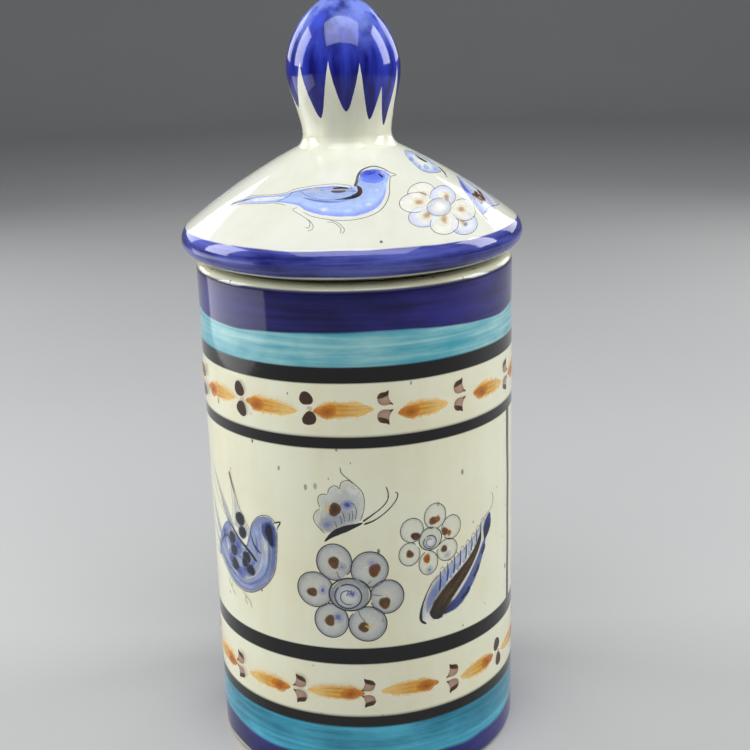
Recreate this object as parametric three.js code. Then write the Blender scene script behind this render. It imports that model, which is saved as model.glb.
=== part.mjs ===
// A lidded ceramic canister: a straight-walled jar with a lift-off domed lid and a bud-shaped finial.
// The jar is a wall cylinder with a floor disc set inside its foot. The lid is a domed shell with a rolled rim,
// a locating ring under it that drops into the jar's mouth, and a hollow finial on top.
// Units are millimetres, +Z is up, and the origin is the centre of the foot, on the table.

import * as THREE from "three";

// ---- Driving dimensions ----
const jarRadius = 64; // outside of the straight wall
const jarHeight = 207; // table to the top of the jar's rim
const wallThickness = 9.5;
const rimRound = 3; // rounding of the rim's outer edge
const rimInnerRound = 1; // rounding of the rim's inner edge
const footRound = 2.6; // rounding of the foot's outer edge
const floorThickness = 8;
const floorLift = 2; // the floor's underside stands this far above the table

const lidOverhang = 4.8; // how far the rolled rim stands out past the jar's wall
const rollRadius = 8; // section radius of the rolled rim's upper half
const rollDrop = 6.8; // the rolled rim's widest line down to its lip
const lipInset = 6.4; // the lip lies this far inside the jar's outer wall
const seatStep = 0.9; // the lid's seat is this much narrower than its lip
const seatDrop = 1.2; // and stands this far below it, so a shadow line shows all round
const lidThickness = 7; // wall of the domed shell
const domeSlopeAtRim = THREE.MathUtils.degToRad(38);
const domeSlopeAtNeck = THREE.MathUtils.degToRad(26);

const neckRadius = 17.7; // narrowest part of the finial
const neckFlare = 0.8; // the finial's foot is this much wider than its neck
const neckHeight = 3; // height of the finial's flared foot
const bellyRadius = 22.6; // widest part of the finial
const bellyHeight = 29; // finial's foot to its widest part
const tipHeight = 28; // widest part to the finial's tip
const budFullness = 1.75; // the tip's roundness: 2 is an ellipse, less is more pointed
const finialWall = 9;
const ventRadius = 9; // hole that joins the finial's hollow to the lid's

const ringThickness = 5; // locating ring
const ringRound = 1.5; // rounding of its lower edges
const ringDepth = 10; // how far the ring reaches below the jar's rim
const ringClearance = 1; // radial play between the ring and the jar's mouth
const jointGap = 0.3; // slip joint between two clay pieces, and the lid's seat on the rim

// ---- Fineness ----
const turns = 48; // flat sides round a turned piece
const arcSteps = 4; // steps along a rounded edge
const smallArcSteps = 2; // steps along the smallest rounded edges
const domeSteps = 7; // steps along the dome's curve
const finialSteps = 8; // steps along each half of the finial

// ---- Places worked out from the driving dimensions ----
const mouthRadius = jarRadius - wallThickness;
const ringRadius = mouthRadius - ringClearance;
const ringBottom = jarHeight - ringDepth;
const seatZ = jarHeight + jointGap;
const lipRadius = jarRadius - lipInset;
const lipZ = seatZ + seatDrop;
const rollOuterRadius = jarRadius + lidOverhang;
const rollCentreRadius = rollOuterRadius - rollRadius;
const rollCentreZ = lipZ + rollDrop;
const finialFootRadius = neckRadius + neckFlare;
const domeStart = [
  rollCentreRadius + rollRadius * Math.sin(domeSlopeAtRim),
  rollCentreZ + rollRadius * Math.cos(domeSlopeAtRim),
];
// The dome is one circular arc whose slope eases from the rim's to the neck's.
const domeArcRadius =
  (domeStart[0] - finialFootRadius) / (Math.sin(domeSlopeAtRim) - Math.sin(domeSlopeAtNeck));
const domeTopZ = domeStart[1] + domeArcRadius * (Math.cos(domeSlopeAtNeck) - Math.cos(domeSlopeAtRim));
const finialFootZ = domeTopZ + jointGap;
const finialBellyZ = finialFootZ + bellyHeight;

// ---- Profile helpers: every profile is a list of [radius, height] ----

// Points of an ellipse's arc, from one angle to another in radians, ends included.
function arc(centre, radii, from, to, steps) {
  const points = [];
  for (let i = 0; i <= steps; i++) {
    const angle = from + ((to - from) * i) / steps;
    points.push([centre[0] + radii[0] * Math.cos(angle), centre[1] + radii[1] * Math.sin(angle)]);
  }
  return points;
}

// The dome's outer curve from the rolled rim up to the neck, moved inwards by an offset.
function domeCurve(offset, steps) {
  const points = [];
  for (let i = 0; i <= steps; i++) {
    const slope = domeSlopeAtRim + ((domeSlopeAtNeck - domeSlopeAtRim) * i) / steps;
    const radius = domeStart[0] - domeArcRadius * (Math.sin(domeSlopeAtRim) - Math.sin(slope));
    const height = domeStart[1] + domeArcRadius * (Math.cos(slope) - Math.cos(domeSlopeAtRim));
    points.push([radius - offset * Math.sin(slope), height - offset * Math.cos(slope)]);
  }
  return points;
}

// The same curve read backwards: its height at a radius.
function domeHeightAt(offset, radius) {
  const points = domeCurve(offset, 200);
  const next = points.findIndex((p) => p[0] <= radius);
  const [high, low] = [points[next], points[next - 1]];
  return low[1] + ((high[1] - low[1]) * (low[0] - radius)) / (low[0] - high[0]);
}

// A solid of revolution about Z from a closed profile, given anticlockwise with radius to the right.
// The profile closes on itself, or starts and ends on the axis.
function turned(profile) {
  const points = profile.map(([radius, height]) => new THREE.Vector2(radius, height));
  if (profile[0][0] > 0) points.push(points[0].clone());
  const geometry = new THREE.LatheGeometry(points, turns);
  return geometry.rotateX(Math.PI / 2);
}

function piece(name, profile, material) {
  const mesh = new THREE.Mesh(turned(profile), material);
  mesh.name = name;
  return mesh;
}

// ---- Materials ----
const glazedCream = new THREE.MeshStandardMaterial({ color: 0xddd9c6, roughness: 0.12, metalness: 0 });
const glazedCobalt = new THREE.MeshStandardMaterial({ color: 0x2a2f9e, roughness: 0.1, metalness: 0 });
const bareClay = new THREE.MeshStandardMaterial({ color: 0xcfc6ac, roughness: 0.7, metalness: 0 });

// ---- The jar ----

// Wall: a straight tube with a flat foot and a softly rounded rim.
function jarWall() {
  const profile = [
    [mouthRadius, 0],
    ...arc([jarRadius - footRound, footRound], [footRound, footRound], -Math.PI / 2, 0, arcSteps),
    ...arc([jarRadius - rimRound, jarHeight - rimRound], [rimRound, rimRound], 0, Math.PI / 2, arcSteps),
    ...arc(
      [mouthRadius + rimInnerRound, jarHeight - rimInnerRound],
      [rimInnerRound, rimInnerRound],
      Math.PI / 2,
      Math.PI,
      smallArcSteps,
    ),
  ];
  return piece("jar_wall", profile, glazedCream);
}

// Floor: a disc set inside the wall, a little above the table so that the jar stands on its foot ring.
function jarFloor() {
  const radius = mouthRadius - jointGap;
  const profile = [
    [0, floorLift],
    [radius, floorLift],
    [radius, floorLift + floorThickness],
    [0, floorLift + floorThickness],
  ];
  return piece("jar_floor", profile, bareClay);
}

// ---- The lid ----

// Dome: from its seat on the jar, round the rolled rim, up to the finial's seat, and back down inside.
function lidDome() {
  const boreRadius = ringRadius + jointGap;
  const inner = domeCurve(lidThickness, domeSteps).filter((p) => p[0] < boreRadius - 1 && p[0] > ventRadius);
  const profile = [
    [boreRadius, seatZ],
    [lipRadius - seatStep, seatZ],
    ...arc([lipRadius, rollCentreZ], [rollOuterRadius - lipRadius, rollDrop], -Math.PI / 2, 0, arcSteps),
    ...arc(
      [rollCentreRadius, rollCentreZ],
      [rollRadius, rollRadius],
      0,
      Math.PI / 2 - domeSlopeAtRim,
      4,
    ).slice(1),
    ...domeCurve(0, domeSteps).slice(1),
    [ventRadius, domeTopZ],
    [ventRadius, domeHeightAt(lidThickness, finialFootRadius)],
    ...inner.reverse(),
    [boreRadius, domeHeightAt(lidThickness, boreRadius)],
  ];
  return piece("lid_dome", profile, glazedCream);
}

// Locating ring: a short tube luted under the dome, that drops into the jar's mouth.
function lidRing() {
  const innerRadius = ringRadius - ringThickness;
  const edge = [ringRound, ringRound];
  const edgeZ = ringBottom + ringRound;
  const profile = [
    ...arc([innerRadius + ringRound, edgeZ], edge, Math.PI, 1.5 * Math.PI, smallArcSteps),
    ...arc([ringRadius - ringRound, edgeZ], edge, -Math.PI / 2, 0, smallArcSteps),
    [ringRadius, domeHeightAt(lidThickness + jointGap, ringRadius)],
    [innerRadius, domeHeightAt(lidThickness + jointGap, innerRadius)],
  ];
  return piece("lid_locating_ring", profile, bareClay);
}

// The bud's outline from its waist to its belly, an S that is upright at both ends.
function budFlank(waistZ) {
  const points = [];
  for (let i = 0; i <= finialSteps; i++) {
    const t = i / finialSteps;
    const eased = THREE.MathUtils.smoothstep(t, 0, 1);
    points.push([neckRadius + (bellyRadius - neckRadius) * eased, waistZ + (finialBellyZ - waistZ) * t]);
  }
  return points;
}

// The bud's outline from its belly to its tip, a superellipse.
function budTip() {
  const points = [];
  for (let i = 1; i <= finialSteps; i++) {
    const angle = (i / finialSteps) * (Math.PI / 2);
    const across = Math.max(Math.cos(angle), 0) ** (2 / budFullness);
    const up = Math.sin(angle) ** (2 / budFullness);
    points.push([i === finialSteps ? 0 : bellyRadius * across, finialBellyZ + tipHeight * up]);
  }
  return points;
}

// Finial: a hollow bud on a flared foot. The hollow opens into the lid, so it can be fired.
function lidFinial() {
  const waistZ = finialFootZ + neckHeight;
  const hollowRadii = [bellyRadius - finialWall, tipHeight - finialWall];
  const hollow = [
    ...arc([0, finialBellyZ], hollowRadii, Math.PI / 2, 0, arcSteps),
    [ventRadius, waistZ],
    [ventRadius, finialFootZ],
  ];
  hollow[0][0] = 0;
  const outside = [[finialFootRadius, finialFootZ], ...budFlank(waistZ), ...budTip()];
  return piece("lid_finial", [...hollow, ...outside], glazedCobalt);
}

const canister = new THREE.Group();
canister.add(jarWall(), jarFloor(), lidDome(), lidRing(), lidFinial());

export default canister;
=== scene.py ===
"""A lidded ceramic canister, hand painted under a clear glaze.

The turned pieces are profiles carried round the axis. The bands of colour on them are in the glaze materials.
Every motif is painted as brush marks: thin films of colour, each a function of two parameters on a flat sheet
in millimetres, which is then wrapped round the jar or the lid.
"""

import math

import bpy
import numpy as np
from mathutils import Matrix, Vector


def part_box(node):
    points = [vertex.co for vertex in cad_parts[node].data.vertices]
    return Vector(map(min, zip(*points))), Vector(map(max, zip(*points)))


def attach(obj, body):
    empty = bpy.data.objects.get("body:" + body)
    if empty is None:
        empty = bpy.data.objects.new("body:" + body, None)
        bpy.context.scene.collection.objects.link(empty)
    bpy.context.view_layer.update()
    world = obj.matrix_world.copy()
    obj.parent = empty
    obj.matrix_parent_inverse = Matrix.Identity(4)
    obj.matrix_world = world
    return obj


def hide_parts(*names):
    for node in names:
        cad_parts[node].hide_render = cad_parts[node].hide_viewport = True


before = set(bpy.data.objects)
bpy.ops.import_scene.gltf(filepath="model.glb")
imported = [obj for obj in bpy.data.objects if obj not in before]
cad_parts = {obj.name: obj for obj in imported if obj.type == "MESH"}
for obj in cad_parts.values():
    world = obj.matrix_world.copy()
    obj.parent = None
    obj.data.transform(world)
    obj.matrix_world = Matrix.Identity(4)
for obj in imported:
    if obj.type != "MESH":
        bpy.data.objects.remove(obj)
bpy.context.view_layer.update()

MM = 0.001
TURN = 2 * math.pi

# ---- Sizes in millimetres, from the frame ----

wall_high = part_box("jar_wall")[1] / MM
floor_low, floor_high = (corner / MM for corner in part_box("jar_floor"))
dome_low, dome_high = (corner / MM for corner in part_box("lid_dome"))
ring_low, ring_high = (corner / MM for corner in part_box("lid_locating_ring"))
finial_low, finial_high = (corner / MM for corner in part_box("lid_finial"))

SLIP_JOINT = 0.3  # the gap between two clay pieces that are luted together

JAR_RADIUS = wall_high.x
JAR_HEIGHT = wall_high.z
MOUTH_RADIUS = floor_high.x + SLIP_JOINT
RIM_ROUND = 3.0
RIM_INNER_ROUND = 1.0
FOOT_ROUND = 2.6

LID_RADIUS = dome_high.x
SEAT_Z = dome_low.z
ROLL_RADIUS = 8.0
ROLL_DROP = 6.8
LIP_INSET = 6.4  # the lip lies this far inside the jar's outer wall
SEAT_DROP = 1.2  # the seat is this far below the lip
SEAT_STEP = 0.9  # and this much narrower
LIP_RADIUS = JAR_RADIUS - LIP_INSET
LIP_Z = SEAT_Z + SEAT_DROP
SEAT_RADIUS = LIP_RADIUS - SEAT_STEP
LID_THICKNESS = 7.0
SLOPE_AT_RIM = math.radians(38)
SLOPE_AT_NECK = math.radians(26)
BORE_RADIUS = ring_high.x + SLIP_JOINT

NECK_RADIUS = 17.7
NECK_FLARE = 0.8  # the finial's foot is this much wider than its neck
FINIAL_FOOT_RADIUS = NECK_RADIUS + NECK_FLARE
NECK_HEIGHT = 3.0
BELLY_RADIUS = finial_high.x
BELLY_HEIGHT = 29.0
BELLY_Z = finial_low.z + BELLY_HEIGHT
TIP_Z = finial_high.z
BUD_FULLNESS = 1.75  # 2 is an ellipse, less is more pointed
FILLET = 1.8  # slip smoothed into the corner between the neck and the dome
FINIAL_WALL = 9.0
VENT_RADIUS = 9.0
RING_THICKNESS = 5.0
RING_ROUND = 1.5

# ---- Heights of the painted bands on the wall, from the table up ----

BARE_FOOT = 1.0
LOW_COBALT_TOP = 12.5
LOW_TURQUOISE_TOP = 26.6
LOW_BLACK_TOP = 32.0
LOW_ORNAMENT_TOP = 54.8
PANEL_LOW = 62.0
PANEL_HIGH = 144.7
HIGH_ORNAMENT_LOW = 150.1
HIGH_ORNAMENT_TOP = 170.5
HIGH_BLACK_TOP = 176.5
HIGH_TURQUOISE_TOP = 190.0
HIGH_COBALT_TOP = 205.3

hand = np.random.default_rng(11)  # the painter's small irregularities


def srgb(red, green, blue):
    """A linear colour from the usual 0 to 255 values."""
    c = np.array([red, green, blue], float) / 255
    return np.where(c <= 0.04045, c / 12.92, ((c + 0.055) / 1.055) ** 2.4)


# ---- Glazes and pigments ----

CREAM = srgb(228, 229, 205)
CREAM_WARM = srgb(224, 220, 190)
LID_CREAM = srgb(213, 215, 204)
LID_WARM = srgb(207, 208, 193)
COBALT = srgb(10, 6, 66)
COBALT_THIN = srgb(40, 38, 126)
RIM_COBALT = srgb(18, 20, 98)
RIM_THIN = srgb(98, 107, 198)
FINIAL_COBALT = srgb(16, 15, 102)
FINIAL_THIN = srgb(50, 66, 190)
# The pale blue of a painted highlight: glare on the finial's upper part.
FINIAL_PAINTED_GLARE = srgb(128, 146, 226)
TURQUOISE = srgb(60, 154, 174)
TURQUOISE_PALE = srgb(172, 216, 212)
LOW_TURQUOISE = srgb(12, 106, 132)
LOW_TURQUOISE_PALE = srgb(82, 184, 212)
BLACK = srgb(8, 8, 7)
SPECK = srgb(22, 19, 20)
BARE_CLAY = srgb(206, 194, 163)
BARE_CLAY_DEEP = srgb(190, 174, 140)
GRIT = srgb(140, 120, 92)
PALE_PAPER = srgb(168, 169, 170)
PALE_PAPER_WARM = srgb(176, 176, 176)
AMBER = srgb(212, 160, 66)
AMBER_PALE = srgb(222, 184, 108)
AMBER_DEEP = srgb(172, 104, 30)
RUST = srgb(140, 78, 28)
BROWN = srgb(92, 60, 38)
BROWN_DARK = srgb(56, 36, 24)
OLIVE = srgb(74, 58, 36)
MAUVE = srgb(172, 142, 124)
INK = srgb(40, 42, 46)
SLATE = srgb(66, 72, 84)
GREY_WASH = srgb(150, 156, 168)
WHITE_WASH = srgb(214, 215, 208)
LAVENDER = srgb(144, 150, 186)
SKY = srgb(140, 160, 206)
CLEAR_BLUE = srgb(88, 108, 204)
SLATE_BLUE = srgb(96, 112, 160)
MID_BLUE = srgb(76, 92, 160)
STRONG_BLUE = srgb(54, 66, 158)
NAVY = srgb(24, 32, 66)


# ---- Camera, light and floor ----


def make_camera():
    """A lens of 61.9 mm looks down at the jar from the front, turned a little about all three axes."""
    pitch, pan, roll = math.radians(16.70), math.radians(0.772), math.radians(-1.641)
    forward = Vector(
        (math.sin(pan) * math.cos(pitch), math.cos(pan) * math.cos(pitch), -math.sin(pitch))
    )
    level = Vector((math.cos(pan), -math.sin(pan), 0))
    upright = level.cross(forward)
    right = math.cos(roll) * level + math.sin(roll) * upright
    up = math.cos(roll) * upright - math.sin(roll) * level
    data = bpy.data.cameras.new("camera")
    data.lens = 61.9
    data.sensor_width = 36
    camera = bpy.data.objects.new("camera", data)
    place = Vector((0, -8.088, 4.838)) * JAR_RADIUS * MM
    axes = Matrix((right, up, -forward)).transposed()
    camera.matrix_world = Matrix.Translation(place) @ axes.to_4x4()
    bpy.context.scene.collection.objects.link(camera)
    bpy.context.scene.camera = camera


def soft_light(name, place, aim, size, power):
    """A rectangular softbox at a place, in metres, that faces a point."""
    data = bpy.data.lights.new(name, "AREA")
    data.shape = "RECTANGLE"
    data.size, data.size_y = size
    data.energy = power
    light = bpy.data.objects.new(name, data)
    light.location = place
    light.rotation_euler = (Vector(aim) - Vector(place)).to_track_quat("-Z", "Y").to_euler()
    bpy.context.scene.collection.objects.link(light)


def make_lights():
    """Softboxes at both sides, above the front and behind, and a dim panel whose edge the bands mirror."""
    middle = (0, 0, 0.16)
    soft_light("left_softbox", (-1.3, 0.22, 0.75), middle, (0.6, 0.9), 13.0)
    soft_light("right_softbox", (1.3, 0.2, 0.8), middle, (0.5, 0.9), 12.0)
    soft_light("overhead_softbox", (0.0, -0.6, 1.3), middle, (1.5, 0.8), 17.5)
    soft_light("back_left_softbox", (-0.8, 1.0, 0.62), middle, (0.5, 0.6), 2.4)
    soft_light("back_right_softbox", (0.8, 1.0, 0.62), middle, (0.5, 0.6), 2.4)
    soft_light("left_panel", (-0.55, 0.05, 0.1), (0, 0, 0.14), (0.67, 0.15), 0.5)
    world = bpy.data.worlds.new("studio")
    world.use_nodes = True
    background = world.node_tree.nodes["Background"]
    background.inputs["Color"].default_value = (0.75, 0.77, 0.8, 1)
    background.inputs["Strength"].default_value = 0.25
    bpy.context.scene.world = world


# ---- Meshes from arrays ----


def mesh_piece(name, corners, faces, material):
    """A smooth object from an (n, 3) array in millimetres and a list of faces."""
    mesh = bpy.data.meshes.new(name)
    mesh.from_pydata((np.asarray(corners) * MM).tolist(), [], faces)
    mesh.polygons.foreach_set("use_smooth", np.full(len(mesh.polygons), True))
    mesh.materials.append(material)
    mesh.update()
    piece = bpy.data.objects.new(name, mesh)
    bpy.context.scene.collection.objects.link(piece)
    return piece


def store(mesh, name, kind, values):
    """Puts one value per vertex into a named attribute of the mesh."""
    field = {"FLOAT": "value", "FLOAT_VECTOR": "vector", "FLOAT_COLOR": "color"}[kind]
    attribute = mesh.attributes.new(name, kind, "POINT")
    attribute.data.foreach_set(field, np.asarray(values, np.float32).ravel())


def revolved(name, profile, turns, material, uneven=None):
    """A profile of (radius, height) carried round Z. Vertex (j, i) is profile point j turned by i steps from
    the front, at (r sin a, -r cos a, z). A profile whose ends lie on the axis gets one vertex at each pole,
    and any other closes on itself. uneven(angle, height) is added to the radius, as a hand leaves it."""
    profile = np.asarray(profile, float)
    poles = profile[0, 0] < 1e-6 and profile[-1, 0] < 1e-6
    rows = profile[1:-1] if poles else profile
    angle = np.arange(turns) * TURN / turns
    radius, height = np.broadcast_arrays(rows[:, 0][:, None], rows[:, 1][:, None])
    radius = np.repeat(radius, turns, 1)
    height = np.repeat(height, turns, 1)
    if uneven is not None:
        radius = radius + uneven(angle[None, :], height)
    corners = np.stack([radius * np.sin(angle), -radius * np.cos(angle), height], -1).reshape(-1, 3)
    j, i = np.meshgrid(np.arange(len(rows) - (1 if poles else 0)), np.arange(turns), indexing="ij")
    up, on = (j + 1) % len(rows), (i + 1) % turns
    quads = np.stack([j * turns + i, j * turns + on, up * turns + on, up * turns + i], -1).reshape(-1, 4)
    faces = quads.tolist()
    if poles:
        first, last = len(corners), len(corners) + 1
        corners = np.vstack([corners, [0, 0, profile[0, 1]], [0, 0, profile[-1, 1]]])
        step = np.arange(turns)
        beside = (step + 1) % turns
        top = (len(rows) - 1) * turns
        faces += np.stack([np.full(turns, first), beside, step], -1).tolist()
        faces += np.stack([np.full(turns, last), top + step, top + beside], -1).tolist()
    return mesh_piece(name, corners, faces, material)


def arc(centre, radii, start, end, steps):
    """Points of an ellipse's arc between two angles in degrees."""
    angle = np.radians(np.linspace(start, end, steps + 1))
    return np.stack([centre[0] + radii[0] * np.cos(angle), centre[1] + radii[1] * np.sin(angle)], -1)


def line(start, end, steps):
    """Points of a straight stretch, without its last one."""
    share = np.arange(steps)[:, None] / steps
    return np.asarray(start) + (np.asarray(end) - np.asarray(start)) * share


# ---- The jar's and the lid's skins ----


def jar_unevenness(angle, height):
    """Fifths of a millimetre of throwing marks: long waves round the wall that drift with height."""
    return (
        0.16 * np.sin(2 * angle + 0.011 * height + 0.6)
        + 0.07 * np.sin(3 * angle - 0.027 * height)
        + 0.035 * np.sin(0.21 * height + 2 * angle)
    )


def lid_unevenness(angle, height):
    """The same kind of wave on the lid and its finial, which leans to the left, more so towards the tip."""
    lean = 0.6 + 1.7 * eased((height - LIP_Z) / (TIP_Z - LIP_Z))
    return 0.12 * np.sin(2 * angle + 1.9) + 0.05 * np.sin(5 * angle + 0.05 * height) - lean * np.sin(angle)


def dome_arc(offset, steps):
    """The dome's outline, one circular arc whose slope eases from the rim's to the neck's, moved in by an
    offset along its normal."""
    centre_radius = LID_RADIUS - ROLL_RADIUS
    start = np.array(
        [
            centre_radius + ROLL_RADIUS * math.sin(SLOPE_AT_RIM),
            LIP_Z + ROLL_DROP + ROLL_RADIUS * math.cos(SLOPE_AT_RIM),
        ]
    )
    bend = (start[0] - FINIAL_FOOT_RADIUS) / (math.sin(SLOPE_AT_RIM) - math.sin(SLOPE_AT_NECK))
    slope = np.linspace(SLOPE_AT_RIM, SLOPE_AT_NECK, steps + 1)
    radius = start[0] - bend * (math.sin(SLOPE_AT_RIM) - np.sin(slope)) - offset * np.sin(slope)
    height = start[1] + bend * (np.cos(slope) - math.cos(SLOPE_AT_RIM)) - offset * np.cos(slope)
    return np.stack([radius, height], -1)


def roll_and_dome(fine):
    """The lid's outer skin from its lip, round the rolled rim and up to the finial's foot."""
    middle = (LIP_RADIUS, LIP_Z + ROLL_DROP)
    under = arc(middle, (LID_RADIUS - LIP_RADIUS, ROLL_DROP), -90, 0, 6 * fine)
    over_middle = (LID_RADIUS - ROLL_RADIUS, LIP_Z + ROLL_DROP)
    over = arc(over_middle, (ROLL_RADIUS, ROLL_RADIUS), 0, 90 - math.degrees(SLOPE_AT_RIM), 4 * fine)
    return np.vstack([under, over[1:], dome_arc(0, 12 * fine)[1:]])


SKIN = roll_and_dome(8)
SKIN_STEPS = np.hypot(*np.diff(SKIN, axis=0).T)
SLANT = np.concatenate([[0], np.cumsum(SKIN_STEPS)])
SKIN_NORMAL = np.gradient(SKIN, SLANT, axis=0)[:, ::-1] * (1, -1)


def skin_radius(slant):
    """The lid's radius at a distance from its lip, measured along the skin."""
    return np.interp(slant, SLANT, SKIN[:, 0])


def round_jar(flat, lift):
    """Wraps a flat sheet round the jar: x is the distance round the wall from the front, y is the height."""
    angle, height = flat[..., 0] / JAR_RADIUS, flat[..., 1]
    radius = JAR_RADIUS + jar_unevenness(angle, height) + lift
    return np.stack([radius * np.sin(angle), -radius * np.cos(angle), height], -1)


def over_lid(flat, lift):
    """Wraps a flat sheet over the lid: x is the distance round it, y is the distance from its lip."""
    slant = flat[..., 1]
    plain = skin_radius(slant)
    angle = flat[..., 0] / plain
    height = np.interp(slant, SLANT, SKIN[:, 1])
    out, up = (np.interp(slant, SLANT, SKIN_NORMAL[:, k]) for k in (0, 1))
    radius = plain + lid_unevenness(angle, height) + out * lift
    return np.stack([radius * np.sin(angle), -radius * np.cos(angle), height + up * lift], -1)


def on_lid(*places):
    """Flat points from pairs of (degrees round from the front, distance from the lip)."""
    places = np.asarray(places, float)
    return np.stack([np.radians(places[:, 0]) * skin_radius(places[:, 1]), places[:, 1]], -1)


# ---- Brush marks ----


def smooth_curve(points, count, closed=False):
    """A Catmull-Rom curve: between two points it is the cubic that leaves each one in the direction from the
    point before it to the point after it."""
    p = np.asarray(points, float)
    if closed:
        p = np.vstack([p[-1], p, p[:2]])
        place = np.arange(count) * (len(p) - 3) / count
    else:
        p = np.vstack([2 * p[0] - p[1], p, 2 * p[-1] - p[-2]])
        place = np.linspace(0, len(p) - 3, count)
    k = np.minimum(place.astype(int), len(p) - 4)
    f = (place - k)[:, None]
    a, b, c, d = p[k], p[k + 1], p[k + 2], p[k + 3]
    return 0.5 * (2 * b + (c - a) * f + (2 * a - 5 * b + 4 * c - d) * f**2 + (3 * b - a - 3 * c + d) * f**3)


def eased(values):
    """0 below 0, 1 above 1, and a smooth S between."""
    t = np.clip(values, 0, 1)
    return t * t * (3 - 2 * t)


def blended(colours, share):
    """Colours at equal steps, read at a share from 0 to 1."""
    colours = np.atleast_2d(np.asarray(colours, float))
    if len(colours) == 1:
        return np.broadcast_to(colours[0], (*np.shape(share), 3)).copy()
    places = np.linspace(0, 1, len(colours))
    return np.stack([np.interp(share, places, colours[:, k]) for k in range(3)], -1)


def mark(flat, colour, edge, amount, grain, streaks, closed=False):
    """One brush mark on a grid: places on the flat sheet, colour, how far inside its edge it is from 0 to 1,
    how much it covers, the distances along and across the brush, and how strongly that brush streaks."""
    seed = np.full(edge.shape, hand.uniform(0, 50))
    amount = np.broadcast_to(amount, edge.shape)
    return {
        "flat": flat,
        "pigment": np.concatenate([colour, amount[..., None]], -1),
        "edge": edge,
        "grain": np.concatenate([grain, seed[..., None]], -1),
        "streaks": np.full(edge.shape, streaks),
        "closed": closed,
    }


ACROSS = np.array([-1, -0.88, -0.66, -0.33, 0, 0.33, 0.66, 0.88, 1.0])


def stroke(points, width, colours, ends=(0.15, 0.15), amount=1.0, soft=0.5, streaks=0.5):
    """A ribbon carried along a curve. Its half width is the width there times the square root of how far it
    has come from either end, so that both ends are round. Colours run along it."""
    length = np.hypot(*np.diff(np.asarray(points, float), axis=0).T).sum()
    count = int(np.clip(length / 0.6, 16, 150))
    path = smooth_curve(points, count)
    along = np.concatenate([[0], np.cumsum(np.hypot(*np.diff(path, axis=0).T))])
    share = along / along[-1]
    ahead = np.gradient(path, axis=0)
    ahead /= np.maximum(np.hypot(*ahead.T), 1e-9)[:, None]
    side = np.stack([-ahead[:, 1], ahead[:, 0]], -1)
    widths = np.atleast_1d(np.asarray(width, float))
    half = np.interp(share, np.linspace(0, 1, len(widths)), widths) / 2
    half = half * np.sqrt(np.clip(share / ends[0], 0, 1) * np.clip((1 - share) / ends[1], 0, 1))
    flat = path[:, None] + side[:, None] * (ACROSS * half[:, None])[..., None]
    edge = eased((1 - np.abs(ACROSS)) / soft)[None, :] * np.ones((count, 1))
    colour = blended(colours, share)[:, None] * np.ones((1, len(ACROSS), 1))
    grain = np.stack([np.repeat(along[:, None], len(ACROSS), 1), ACROSS * half[:, None]], -1)
    return mark(flat, colour, edge, amount, grain, streaks)


def wash(outline, middle, rim, centre=None, soft=0.6, amounts=(1.0, 1.0), count=72):
    """A puddle of colour: rings that shrink from a closed outline towards its centre. Its colour and how much
    it covers go from the middle's to the rim's as the 2.2th power of the way out."""
    border = smooth_curve(outline, count, closed=True)
    centre = border.mean(0) if centre is None else np.asarray(centre, float)
    size = np.hypot(*(border - centre).T).mean()
    last = 1 - min(soft / size, 0.9)
    inner = np.array([0.02, 0.25, 0.45, 0.62, 0.76, 0.88, 0.97]) * last
    ring = np.append(inner, [last * 0.7 + 0.3, last * 0.35 + 0.65, 1])
    flat = centre + (border - centre)[:, None] * ring[None, :, None]
    shade = np.clip(ring / last, 0, 1) ** 2.2
    colour = middle * (1 - shade)[:, None] + rim * shade[:, None]
    colour = np.broadcast_to(colour, (count, len(ring), 3))
    edge = eased((1 - ring) * size / soft)[None, :] * np.ones((count, 1))
    amount = (amounts[0] * (1 - shade) + amounts[1] * shade)[None, :]
    return mark(flat, colour, edge, amount, flat * 0.6, 0.0, closed=True)


def blot(centre, radii, middle, rim, turn=0.0, soft=0.7, amount=1.0, rim_amount=None, wander=0.05):
    """A dab of the brush: an ellipse whose radius wanders by a few hundredths."""
    a = np.arange(14) * TURN / 14
    oval, lobed = np.sin(2 * a + hand.uniform(0, TURN)), np.sin(3 * a + hand.uniform(0, TURN))
    sway = 1 + wander * (oval + 0.8 * lobed)
    x, y = radii[0] * sway * np.cos(a), radii[1] * sway * np.sin(a)
    c, s = math.cos(math.radians(turn)), math.sin(math.radians(turn))
    outline = np.stack([centre[0] + c * x - s * y, centre[1] + s * x + c * y], -1)
    amounts = (amount, amount if rim_amount is None else rim_amount)
    return wash(outline, middle, rim, soft=soft, amounts=amounts, count=40)


def blade(left, right, colours, soft=0.08, amount=1.0, fade=(0.04, 0.04), streaks=0.5):
    """A wash between two edges: the point at (t, v) lies a share v of the way from the left edge to the
    right one. Colours run across it, and it fades in and out over a share of its length at its ends."""
    count = 64
    start, end = smooth_curve(left, count), smooth_curve(right, count)
    v = np.linspace(0, 1, 21)
    flat = start[:, None] * (1 - v)[:, None] + end[:, None] * v[:, None]
    share = np.linspace(0, 1, count)
    colour = blended(colours, v)[None] * np.ones((count, 1, 1))
    edge = eased(np.minimum(v, 1 - v) / soft)[None, :]
    edge = edge * (eased(share / fade[0]) * eased((1 - share) / fade[1]))[:, None]
    length = np.hypot(*np.diff((start + end) / 2, axis=0).T).sum()
    width = np.hypot(*(end - start).T)[:, None]
    grain = np.stack([np.repeat(share[:, None] * length, len(v), 1), v[None] * width], -1)
    return mark(flat, colour, edge, amount, grain, streaks)


def round_line(centre, radii, width, colour, start=0, end=352, **how):
    """A stroke round most of an ellipse, as a painter draws a petal."""
    angle = np.radians(np.linspace(start, end, 22))
    points = np.stack([centre[0] + radii[0] * np.cos(angle), centre[1] + radii[1] * np.sin(angle)], -1)
    return stroke(points, width, colour, ends=(0.02, 0.04), **how)


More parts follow.
